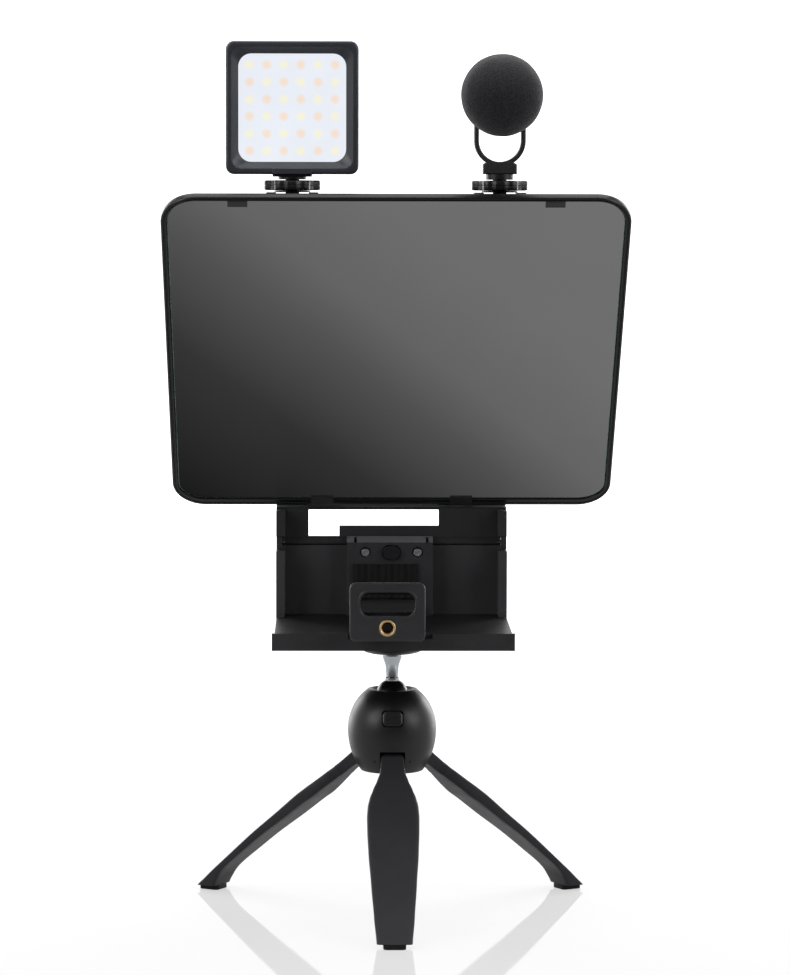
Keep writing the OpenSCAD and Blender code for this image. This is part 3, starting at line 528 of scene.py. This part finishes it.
# base cap with a ring groove and a screw recess
c = mid("hub_base_cap")
cap_lo, cap_hi = box("hub_base_cap")
add("base cap", lathe("base cap", fillet([(1.25, cap_hi.z), (8, cap_hi.z), (8, cap_lo.z), (6.6, cap_lo.z),
                                          (6.6, cap_lo.z + 0.4),
    (6.1, cap_lo.z + 0.4), (6.1, cap_lo.z), (2.4, cap_lo.z), (2.4, cap_lo.z + 1), (1.25, cap_lo.z + 1)],
    0.12), (c.x, c.y, 0),
    closed=True), "hub_base_cap")

# a small lip in front of each end of the fold hinge between the two panels
LIP_X, LIP_Z = 52.5, 166.4
LIP_FRONT, LIP_BACK = AY + 30.5, AY + 35.5
for side, word in ((-1, "left"), (1, "right")):
    lip = slab("hinge lip", [round_rect(AX + side * LIP_X, LIP_Z, 2.6, 6.2, 0.5)], LIP_FRONT, LIP_BACK, 0.3)
    part_of("hinge lip " + word, lip, "upper_panel")

# lock button: its face follows the hub and has a faint dished middle
W, H = (lock_hi.x - lock_lo.x) / 2, (lock_hi.z - lock_lo.z) / 2


def hub_radius(z):
    if z >= WAIST:
        b = (z1 - 0.4 - WAIST) / math.sin(math.radians(top))
    else:
        b = (WAIST - z0) / math.sin(math.radians(low))
    return hub_r * math.sqrt(max(0, 1 - ((z - WAIST) / b) ** 2))


rings = []
for k, (scale, push) in enumerate([(1.0, -9.0), (1.0, -0.75), (0.985, -0.35), (0.94, -0.08), (0.86, 0.0),
                                   (0.62, -0.05), (0.4, -0.16), (0.15, -0.2)]):
    ring = []
    for x, z in round_rect(0, 0, 2 * W * scale, 2 * H * scale, 2.0 * scale, 6):
        r = hub_radius(lock.z + z)
        y = -math.sqrt(max(r * r - x * x, 0.01)) - push
        ring.append((AX + x, AY + (y if k else -14.0), lock.z + z))
    rings.append(ring)
add("lock button", loft("lock button", rings, 38), "lock_button")

# legs
PAIRS = [((10.6, 71.0), (10.6, 70.0)), ((10.9, 72.3), (10.9, 68.7)), ((11.9, 73.6), (11.9, 67.4)),
         ((13.2, 74.3), (13.4, 66.7)),
         ((14.8, 74.5), (15.0, 66.2)), ((17.0, 73.3), (17.0, 65.6)), ((20.5, 70.4), (19.4, 63.9)),
         ((25.7, 65.9), (22.8, 61.1)),
         ((30.5, 62.1), (27.0, 57.5)), ((35.4, 58.1), (31.5, 53.7)), ((41.0, 53.9), (37.0, 49.1)),
         ((46.5, 49.6), (42.0, 45.7)),
         ((57.2, 40.6), (53.0, 37.4)), ((69.8, 30.4), (65.4, 28.4)), ((81.8, 20.0), (77.5, 18.7)),
         ((89.6, 13.2), (84.9, 12.6)),
         ((94.2, 9.2), (88.3, 9.0)), ((97.8, 6.0), (90.4, 5.4)), ((100.4, 3.8), (91.4, 3.4)),
         ((102.0, 2.3), (91.8, 2.25))]
PLAN = [(-6, 5.4), (6, 5.4), (10, 5.75), (15, 7.3), (20, 9.1), (25, 10.65), (30, 11.55), (36, 11.9),
        (44, 11.8), (58, 11.3),
        (76, 10.2), (95, 9.0), (107, 8.0), (116, 7.3)]
SLOPE = math.radians(39.6)


def catmull(points, per=5):
    out = []
    for i in range(len(points) - 1):
        p0, p1, p2, p3 = (Vector(points[max(0, min(len(points) - 1, i + k))]) for k in (-1, 0, 1, 2))
        for k in range(per):
            t = k / per
            out.append(0.5 * ((2 * p1) + (p2 - p0) * t + (2 * p0 - 5 * p1 + 4 * p2 - p3) * t * t
                              + (3 * p1 - p0 - 3 * p2 + p3) * t ** 3))
    return out + [Vector(points[-1])]


def plan_width(s):
    for (a, wa), (b, wb) in zip(PLAN, PLAN[1:]):
        if s <= b:
            t = max(0.0, (s - a) / (b - a))
            t = t * t * (3 - 2 * t) * 0.35 + t * 0.65
            return wa + (wb - wa) * t
    return PLAN[-1][1]


def leg_mesh(angle):
    tops = catmull([p[0] for p in PAIRS])
    bottoms = catmull([p[1] for p in PAIRS])
    sections = []
    for t, b in zip(tops, bottoms):
        m = (t + b) / 2
        s = (m.x - 14.5) * math.cos(SLOPE) + (70.5 - m.y) * math.sin(SLOPE)
        w = plan_width(s)
        d = (t - b)
        h = d.length / 2
        d.normalize()
        ring = []
        n = 48
        for i in range(n):
            a = 2 * math.pi * i / n
            cx, sy = math.cos(a), math.sin(a)
            x = w * math.copysign(abs(cx) ** (2 / 9), cx)
            y = h * math.copysign(abs(sy) ** (2 / 7), sy)
            crown = 0.07 * h * (1 - (x / w) ** 2) * (1 if sy > 0 else -0.6)
            y = y * 0.93 + crown if s > 14 else y
            ring.append((m.x + d.x * y, x, m.y + d.y * y))
        sections.append(ring)
    me = loft("leg", sections, 60)
    me.transform(Matrix.Translation((AX * MM, AY * MM, 0)) @ Matrix.Rotation(angle, 4, "Z"))
    return me


for name, angle in legs.items():
    add("leg " + name, leg_mesh(angle), "leg_" + name)
    lo, hi = box("foot_" + name)
    sole = slab("sole", [round_rect(96.95, 0, 10.2, 10.1, 2.0)], 0, hi.z, 0.35, PLANE_Z)
    treads = [slab("tread", [round_rect(93.6 + 2.2 * i, 0, 0.9, 8.2, 0.4)], 0.0, 0.5, 0.1,
                   PLANE_Z) for i in range(4)]
    sole = join("sole", sole, *treads)
    sole.transform(Matrix.Translation((AX * MM, AY * MM, 0)) @ Matrix.Rotation(angle, 4, "Z"))
    add("sole " + name, smooth(sole), "foot_" + name)

# ball and chrome stud
lo, hi = box("ball")
cap = math.degrees(math.asin(min(1, (hi.z - ball_z) / 7.5)))
add("ball", lathe("ball", arc(0, ball_z, 7.5, 7.5, -90, cap, 40)[1:] + [(3.3, hi.z), (2.0, hi.z - 0.4)],
                  (AX, AY, 0)), "ball")
lo, hi = box("ball_stud")
stud = fillet([(0.01, lo.z), (2, lo.z), (2, 105.6), (3.4, 105.6), (3.4, 107.2), (3.1, 107.5), (3.1, 111.4),
               (3.35, 113.3), (4.2, 115.7),
               (4.65, 117.1), (4.65, 118.4), (3.0, 118.4)], 0.25, closed=False)
for i in range(7):
    z = 118.9 + i * 1.1
    stud += [(2.75, z), (3.08, z + 0.5)]
stud += [(2.6, 126.8), (0, 127.0)]
add("stud", lathe("stud", stud, (AX, AY, 0), angle=28), "ball_stud")

# ---------- front clamp ----------

lo, hi = box("front_jaw")
jx = (lo.x + hi.x) / 2
jaw_w, jy0 = hi.x - lo.x, lo.y
jy1 = jy0 + 4.5
tongue = hi.y
jz = (lo.z + hi.z) / 2
jaw_h = hi.z - lo.z
insert = mid("jaw_insert")
slot_z = 146.3
plate = slab("plate", [round_rect(jx, jz, jaw_w, jaw_h, 2.7, 10),
                       round_rect(jx + 0.1, slot_z, 24.6, 10.8, 4.2, 10),
                       arc(insert.x, insert.z, 3.76, 3.76, 0, 348, 29)], jy0, jy1, 0.7, res=4)
rim = slab("rim", [round_rect(jx + 0.1, slot_z, 26.8, 13.0, 5.2, 10),
                   round_rect(jx + 0.1, slot_z, 24.7, 10.9, 4.2, 10)],
           jy0 - 0.25, jy0 + 1.2, 0.24, res=3)
tongue_me = slab("tongue", [fillet([(jx - 10, 133.2), (jx + 10, 133.2), (jx + 10, 137.4), (jx - 10, 137.4)],
                                   0.6)], jy1 - 0.6, tongue, 0.5)
back = slab("backing", [arc(insert.x, insert.z, 3.9, 3.9, 0, 348, 29)], jy1 - 0.5, jy1 - 0.05, 0.1)
add("front jaw", join("front jaw", plate, rim, tongue_me, back), "front_jaw")
ins_lo, ins_hi = box("jaw_insert")
rings = [(2.6, ins_hi.y)]
for i in range(6):
    y = ins_hi.y - 0.35 - i * 0.6
    rings += [(2.62, y), (2.85, y - 0.3)]
rings += [(2.75, ins_lo.y + 0.35), (3.0, ins_lo.y + 0.02), (3.55, ins_lo.y), (3.75, ins_lo.y + 0.2),
          (3.75, ins_hi.y)]
add("jaw insert", lathe("jaw insert", [(r, y - ins_lo.y) for r, y in rings], (insert.x, ins_lo.y, insert.z),
                        "Y", 64, True, 25),
    "jaw_insert")

# ---------- glass frame ----------

lo, hi = box("frame_ring")
ring_w = hi.x - lo.x
fx = (lo.x + hi.x) / 2
slope = math.radians(45)
RING_L = 205.5
foot = Vector((fx, AY + 36.0, 183.4))
ON = Matrix.Translation(foot * MM) @ Matrix.Rotation(math.pi - slope, 4, "X")
R, SIDE, TOP, BOTTOM = 15.5, 2.7, 2.0, 4.6


def frame_loop(a, u=0.0, n=14):
    """One closed loop of the frame.

    a runs from its outer edge (0) to the inside of its border (1), and u goes on inwards, in mm.
    """
    s, t, b = SIDE * a + u, TOP * a + u, BOTTOM * a + u
    x, y0, y1 = ring_w / 2 - R, R, RING_L - R
    side, head, sill = max(R - s, 1), max(R - t, 1), max(R - b, 1)
    return (arc(x, y1, side, head, 0, 90, n) + arc(-x, y1, side, head, 90, 180, n)
            + arc(-x, y0, side, sill, 180, 270, n) + arc(x, y0, side, sill, 270, 360, n))


def ring_mesh(name, section):
    bm = bmesh.new()
    loops = [[bm.verts.new(ON @ (Vector((x, y, z)) * MM)) for x, y in frame_loop(a, u)]
             for a, u, z in section]
    n = len(loops[0])
    for p, q in zip(loops, loops[1:] + loops[:1]):
        for i in range(n):
            bm.faces.new((p[i], p[(i + 1) % n], q[(i + 1) % n], q[i]))
    return from_bmesh(bm, name, 28)


section = [(1, 0, -2.4), (1, 0, -0.8), (0.97, 0, -0.3), (0.9, 0, -0.06), (0.78, 0, 0), (0.68, 0, -0.04),
           (0.63, 0, -0.22), (0.58, 0, -0.42),
           (0.5, 0, -0.46), (0.44, 0, -0.4), (0.4, 0, -0.16), (0.34, 0, 0), (0.22, 0, -0.02),
           (0.12, 0, -0.14), (0.05, 0, -0.36),
           (0.0, 0, -0.75), (0.0, 0, -2.7), (0.05, 0, -3.1), (0.16, 0, -3.33), (0.3, 0, -3.4),
           (0.9, 2.6, -3.4), (1, 2.85, -3.3),
           (1, 3, -3.1), (1, 3, -2.55), (1, 2.85, -2.4)]
ring = ring_mesh("ring", section)
knuckles = []
for s in (-1, 1):
    k = lathe("knuckle", fillet([(1.05, -3.3), (2.2, -3.3), (2.2, 3.3), (1.05, 3.3)], 0.25),
              (s * 32.5, 2.5, -6), "X", 48, True)
    web = slab("web", [[(0.3, -6), (4.7, -6), (4.7, -3.3), (0.3, -3.3)]], s * 32.5 - 3.3, s * 32.5 + 3.3,
               0.15, PLANE_X)
    for me in (k, web):
        me.transform(ON)
        knuckles.append(me)
add("frame ring", join("frame ring", ring, *knuckles), "frame_ring")

bm = bmesh.new()
levels = [(1, 0.15, -2.38), (1, 0.15, -1.0), (1, 0.45, -0.8)]
loops = [[bm.verts.new((x * MM, y * MM, z * MM)) for x, y in frame_loop(a, u)] for a, u, z in levels]
n = len(loops[0])
for p, q in zip(loops, loops[1:]):
    for i in range(n):
        bm.faces.new((p[i], p[(i + 1) % n], q[(i + 1) % n], q[i])).material_index = 1
bm.faces.new(loops[0])
bm.faces.new(list(reversed(loops[-1])))
glass_me = from_bmesh(bm, "pane", 30)
glass = bpy.data.objects.new("pane", glass_me)
bpy.context.scene.collection.objects.link(glass)
glass.matrix_world = ON
glass_me.materials.append(M["glass"])
glass_me.materials.append(M["glass_edge"])
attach(glass, "frame")
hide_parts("glass")

# ---------- light ----------

lo, hi = box("led_bezel")
clo, chi = box("led_case")
lx, lz = (lo.x + hi.x) / 2, (lo.z + hi.z) / 2
lw, lh = hi.x - lo.x, hi.z - lo.z
WIN = 46.6
front = lo.y


def square_ring(name, section, n=10):
    """A ring round the light: every entry is (outer size, corner radius, y)."""
    bm = bmesh.new()
    loops = []
    for w, r, y in section:
        h = w - (lw - lh) * min(1, (w - WIN) / (lw - WIN))
        loops.append([bm.verts.new(Vector((x, y, z)) * MM) for x, z in round_rect(lx, lz, w, h, r, n)])
    k = len(loops[0])
    for p, q in zip(loops, loops[1:] + loops[:1]):
        for i in range(k):
            bm.faces.new((p[i], p[(i + 1) % k], q[(i + 1) % k], q[i]))
    return from_bmesh(bm, name, 30)


bez = [(lw, 3.7, hi.y), (lw, 3.7, front + 1.2), (lw - 0.5, 3.6, front + 0.45), (lw - 1.4, 3.4, front + 0.1),
       (lw - 2.6, 3.1, front),
       (WIN + 6.6, 4.2, front), (WIN + 5.8, 4.2, front + 0.12), (WIN + 5.2, 4.2, front + 0.5),
       (WIN + 1.6, 4.1, front + 2.4), (WIN + 0.4, 5.6, front + 2.9),
       (WIN, 5.6, front + 3.2), (WIN + 4, 5.0, front + 3.25), (WIN + 4, 4.0, hi.y)]
add("light bezel", square_ring("light bezel", bez), "led_bezel")
part_of("light foot plate", slab("light foot plate", [round_rect(lx, lz - lh / 2 + 1.35, 17.2, 2.5, 0.6)],
                                 front - 0.2, front + 1.0, 0.25), "led_bezel")

T = 1.8
shell = [(lw, 3.7, clo.y + 0.25), (lw - 0.3, 3.6, clo.y), (lw - 2 * T, 2.6, clo.y),
         (lw - 2 * T, 2.6, chi.y - T), (0.6, 0.2, chi.y - T),
         (0.6, 0.2, chi.y), (lw - 8, 3.0, chi.y), (lw - 4.2, 3.2, chi.y - 0.25),
         (lw - 1.6, 3.5, chi.y - 1.1), (lw - 0.3, 3.7, chi.y - 2.6),
         (lw, 3.7, chi.y - 4.0)]
case = square_ring("light case", shell)
bt = mid("led_button")
hole = lathe("hole", [(0, -3), (3.9, -3), (3.9, 3), (0, 3)], (bt.x, chi.y, bt.z), "Y", 48)
port = slab("port", [round_rect(-88.9 + AY, lz, 3.3, 9.0, 1.5)], lx - lw / 2 - 2, lx - lw / 2 + 3, 0.1,
            PLANE_X)
vents = [slab("vent", [round_rect(lx - 18 + 4 * i, lz + 12, 1.4, 16, 0.65)], chi.y - 0.7, chi.y + 1,
              0.05) for i in range(10)]
add("light case", cut(case, [hole, port] + vents, "light case"), "led_case")

dlo, dhi = box("led_diffuser")
dif = slab("diffuser", [round_rect(lx, lz, dhi.x - dlo.x, dhi.z - dlo.z, 4, 8)], dlo.y, dhi.y, 0.2)
add("light diffuser", dif, "led_diffuser", origin=Vector((lx, (dlo.y + dhi.y) / 2, lz)) * MM)
blo, bhi = box("led_button")
add("light button", lathe("light button", [(0, 0), (3.1, 0), (3.6, 0.3), (3.6, bhi.y - blo.y - 0.5),
                                           (3.3, bhi.y - blo.y - 0.1), (2.6, bhi.y - blo.y),
    (1.2, bhi.y - blo.y - 0.25), (0, bhi.y - blo.y - 0.3)], (bt.x, blo.y, bt.z), "Y", 48), "led_button")


def wheel(node, title):
    """Thumb wheel: six rounded lobes, a groove round the edge and a raised hub."""
    lo, hi = box(node)
    c = (lo + hi) / 2
    seg = 180
    zs = [(lo.z, -0.7), (lo.z + 0.25, -0.2), (lo.z + 0.6, 0), (lo.z + 1.9, 0), (lo.z + 2.0, -0.12),
          (lo.z + 2.3, -0.12), (lo.z + 2.4, 0),
          (hi.z - 0.6, 0), (hi.z - 0.25, -0.2), (hi.z, -0.7), (hi.z, -3.0)]
    bm = bmesh.new()
    rings = []

    def r_at(a):
        best = 10.0
        for k in range(6):
            d = a - math.radians(60 * k)
            q = 3.2 ** 2 - (9.05 * math.sin(d)) ** 2
            if q > 0 and math.cos(d) > 0:
                best = max(best, 9.05 * math.cos(d) + math.sqrt(q))
        return best

    radii = [r_at(2 * math.pi * i / seg) for i in range(seg)]
    weights = ((-2, 1), (-1, 2), (0, 3), (1, 2), (2, 1))
    radii = [sum(radii[(i + k) % seg] * w for k, w in weights) / 9 for i in range(seg)]
    for z, off in zs:
        rings.append([bm.verts.new(((radii[i] + off) * math.cos(2 * math.pi * i / seg),
                                    (radii[i] + off) * math.sin(2 * math.pi * i / seg), z))
                      for i in range(seg)])
    for r, z in ((5.6, hi.z), (5.6, hi.z - 0.35), (3.06, hi.z - 0.35), (3.06, lo.z), (5.0, lo.z)):
        rings.append([bm.verts.new((r * math.cos(2 * math.pi * i / seg),
                                    r * math.sin(2 * math.pi * i / seg), z)) for i in range(seg)])
    for p, q in zip(rings, rings[1:] + rings[:1]):
        for i in range(seg):
            bm.faces.new((p[i], p[(i + 1) % seg], q[(i + 1) % seg], q[i]))
    bmesh.ops.transform(bm, verts=bm.verts, matrix=Matrix.Scale(MM, 4) @ Matrix.Translation((c.x, c.y, 0)))
    add(title, from_bmesh(bm, title, 30), node)


wheel("led_wheel", "light wheel")
wheel("mic_wheel", "microphone wheel")

# ---------- microphone ----------

lo, hi = box("mic_foam")
mx, mz = (lo.x + hi.x) / 2, (lo.z + hi.z) / 2
fr = (hi.x - lo.x) / 2
fy = lo.y + fr
bm = bmesh.new()
bmesh.ops.create_icosphere(bm, subdivisions=7, radius=1.0)
mouth = math.asin(8.9 / fr)
for v in bm.verts:
    d = v.co.normalized()
    a = math.acos(max(-1, min(1, d.y)))
    big = noise.noise(d * 3.1) * 0.12
    cells = noise.noise(d * 46.0) * 0.07 + noise.noise(d * 95.0) * 0.055
    r = fr - 0.22 + big + cells
    if a < mouth + 0.35:
        t = max(0.0, (mouth + 0.35 - a) / 0.35)
        r = r - 1.6 * max(0, min(1, t)) ** 2.5 if a > mouth - 0.06 else r
    v.co = d * r
    if a < mouth:
        k = a / mouth
        depth = 1 - k ** 6
        v.co.y = math.cos(mouth) * (fr - 1.8) - 5.0 * min(1, depth * 2.2)
bmesh.ops.transform(bm, verts=bm.verts, matrix=Matrix.Scale(MM, 4) @ Matrix.Translation((mx, fy, mz)))
foam = add("windscreen", from_bmesh(bm, "windscreen", 60), "mic_foam")

lo, hi = box("mic_tube")
tl = hi.y - lo.y
tube = fillet([(7.4, 0), (8.9, 0), (8.9, tl - 14.5), (8.55, tl - 14.2), (8.55, tl - 13.4), (8.9, tl - 13.1),
               (8.9, tl - 0.9), (8.0, tl), (3.5, tl),
               (3.5, tl - 13.5), (7.4, tl - 13.5)], 0.25)
add("microphone tube", lathe("microphone tube", tube, (mx, lo.y, mz), "Y", 96, True), "mic_tube")
ylo, yhi = box("mic_lyre")
RZ, RO, RI = 353.6, 11.2, 9.1
outline = (arc(mx, RZ, RO, RO, -90 + 33, 0, 14) + [(mx + RO, mz + 2)]
           + arc(mx, mz, RO, RO, 12, 23, 2) + arc(mx, mz, 8.92, 8.92, 25, -3, 6)
           + [(mx + RI, mz - 4.5)] + arc(mx, RZ, RI, RI, 0, -180, 28) + [(mx - RI, mz - 4.5)]
           + arc(mx, mz, 8.92, 8.92, 183, 155, 6) + arc(mx, mz, RO, RO, 157, 168, 2)
           + [(mx - RO, mz + 2)] + arc(mx, RZ, RO, RO, 180, 270 - 33, 14)
           + [(mx - 7.4, ylo.z + 4.3), (mx - 7.4, ylo.z), (mx + 7.4, ylo.z), (mx + 7.4, ylo.z + 4.3)])
add("lyre", slab("lyre", [outline], ylo.y, yhi.y, 0.7, res=4), "mic_lyre")

# ---------- small metal parts ----------

lo, hi = box("jaw_screws")
heads = []
for sx in (lo.x + 2.1, hi.x - 2.1):
    z = (lo.z + hi.z) / 2
    profile = [(0, 0.25), (1.0, 0.12), (1.7, 0.2), (2.1, 0.55), (2.1, 1.1), (1.1, 1.1),
               (1.1, hi.y - lo.y - 0.1), (0, hi.y - lo.y)]
    head = lathe("head", profile, (sx, lo.y, z), "Y", 40)
    cross = [slab("c", [round_rect(sx, z, w, h, 0.2)], lo.y - 0.5, lo.y + 0.75, 0.02)
             for w, h in ((2.9, 0.8), (0.8, 2.9))]
    heads.append(cut(head, cross, "head"))
add("jaw screws", join("jaw screws", *heads), "jaw_screws")

# ---------- stage ----------

def full_to_camera(tree, strength):
    """1 for what the camera sees directly; for the light that falls on the object, the given strength."""
    ray = tree.nodes.new("ShaderNodeLightPath")
    seen = tree.nodes.new("ShaderNodeMath")
    seen.operation = "MAXIMUM"
    tree.links.new(ray.outputs["Is Camera Ray"], seen.inputs[0])
    tree.links.new(strength, seen.inputs[1])
    return seen.outputs[0]


cyc = bmesh.new()
BEND_Y, BEND_R = 2.2, 1.2
bend = [math.radians(a) for a in range(6, 91, 6)]
path = ([(-4.0, 0.0), (BEND_Y, 0.0)] + [(BEND_Y + BEND_R * math.sin(a),
                                         BEND_R - BEND_R * math.cos(a)) for a in bend]
        + [(3.4, 5.0)])
rows = [[cyc.verts.new((x, y, z)) for x in (-6.0, 6.0)] for y, z in path]
for a, b in zip(rows, rows[1:]):
    cyc.faces.new((a[0], a[1], b[1], b[0]))
floor_me = from_bmesh(cyc, "floor", 60)
floor = bpy.data.objects.new("floor", floor_me)
bpy.context.scene.collection.objects.link(floor)
fm, nt, out, bsdf, co = base_tree("studio floor")
nt.links.new(mixed(nt, remap(nt, grain(nt, co, 3, 3), 0, 1), (0.1, 0.1, 0.1, 1), (0.12, 0.12, 0.12, 1)),
             bsdf.inputs["Base Color"])
nt.links.new(remap(nt, grain(nt, co, 6, 2), 0.03, 0.05), bsdf.inputs["Roughness"])
bsdf.inputs["IOR"].default_value = 1.1
sep = nt.nodes.new("ShaderNodeSeparateXYZ")
nt.links.new(co, sep.inputs[0])
bsdf.inputs["Emission Color"].default_value = (1, 1, 1, 1)
glow = nt.nodes.new("ShaderNodeMath")
glow.operation = "MULTIPLY"
nt.links.new(remap(nt, sep.outputs["Y"], 0.58, 1.6, 0.3, 2.0), glow.inputs[0])
nt.links.new(full_to_camera(nt, remap(nt, sep.outputs["Y"], 0.05, 1, -0.5, -0.12)), glow.inputs[1])
nt.links.new(glow.outputs[0], bsdf.inputs["Emission Strength"])
floor_me.materials.append(fm)


def light(name, at, to, size, power, colour=(1, 1, 1), size_y=None):
    data = bpy.data.lights.new(name, "AREA")
    data.energy = power
    data.color = colour
    data.shape = "RECTANGLE"
    data.size = size
    data.size_y = size_y or size
    ob = bpy.data.objects.new(name, data)
    ob.location = at
    ob.rotation_mode = "QUATERNION"
    ob.rotation_quaternion = (Vector(to) - Vector(at)).to_track_quat("-Z", "Y")
    bpy.context.scene.collection.objects.link(ob)
    return ob


aim = (0, 0, 0.2)
light("key", (-1.3, -0.9, 1.0), aim, 0.9, 20, size_y=1.3)
light("fill", (1.3, -0.7, 0.9), aim, 0.9, 16, size_y=1.3)
light("top", (0.0, 0.2, 1.7), aim, 1.6, 26)
light("back left", (-0.9, 1.1, 0.6), aim, 0.5, 10, size_y=1.2)
light("back right", (0.9, 1.1, 0.6), aim, 0.5, 10, size_y=1.2)

world = bpy.data.worlds.new("studio")
world.use_nodes = True
wt = world.node_tree
towards = wt.nodes.new("ShaderNodeTexCoord")
sep = wt.nodes.new("ShaderNodeSeparateXYZ")
wt.links.new(towards.outputs["Generated"], sep.inputs[0])
dim = full_to_camera(wt, remap(wt, sep.outputs["Y"], 0.08, 0.95, -0.7, 0.05))
wt.links.new(dim, wt.nodes["Background"].inputs[1])
wt.nodes["Background"].inputs[0].default_value = (1, 1, 1, 1)
bpy.context.scene.world = world

cam_data = bpy.data.cameras.new("camera")
cam_data.sensor_width = 36
cam_data.lens = 149.5
cam_data.clip_start, cam_data.clip_end = 0.05, 50
cam = bpy.data.objects.new("camera", cam_data)
cam.rotation_mode = "XYZ"
CAM_DISTANCE, CAM_HEIGHT = 1.853, 0.3515         # metres from the tripod's axis and above the floor
CAM_DOWN, CAM_ROLL, CAM_ASIDE = 4.83, -0.12, 0.025   # degrees
turn = math.radians(-0.8)
cam.location = (AX * MM + CAM_DISTANCE * math.sin(turn), AY * MM - CAM_DISTANCE * math.cos(turn),
                CAM_HEIGHT)
cam.rotation_euler = (math.radians(90 - CAM_DOWN), math.radians(CAM_ROLL), turn - math.radians(CAM_ASIDE))
bpy.context.scene.collection.objects.link(cam)
bpy.context.scene.camera = cam
bpy.context.scene.view_settings.view_transform = "Standard"
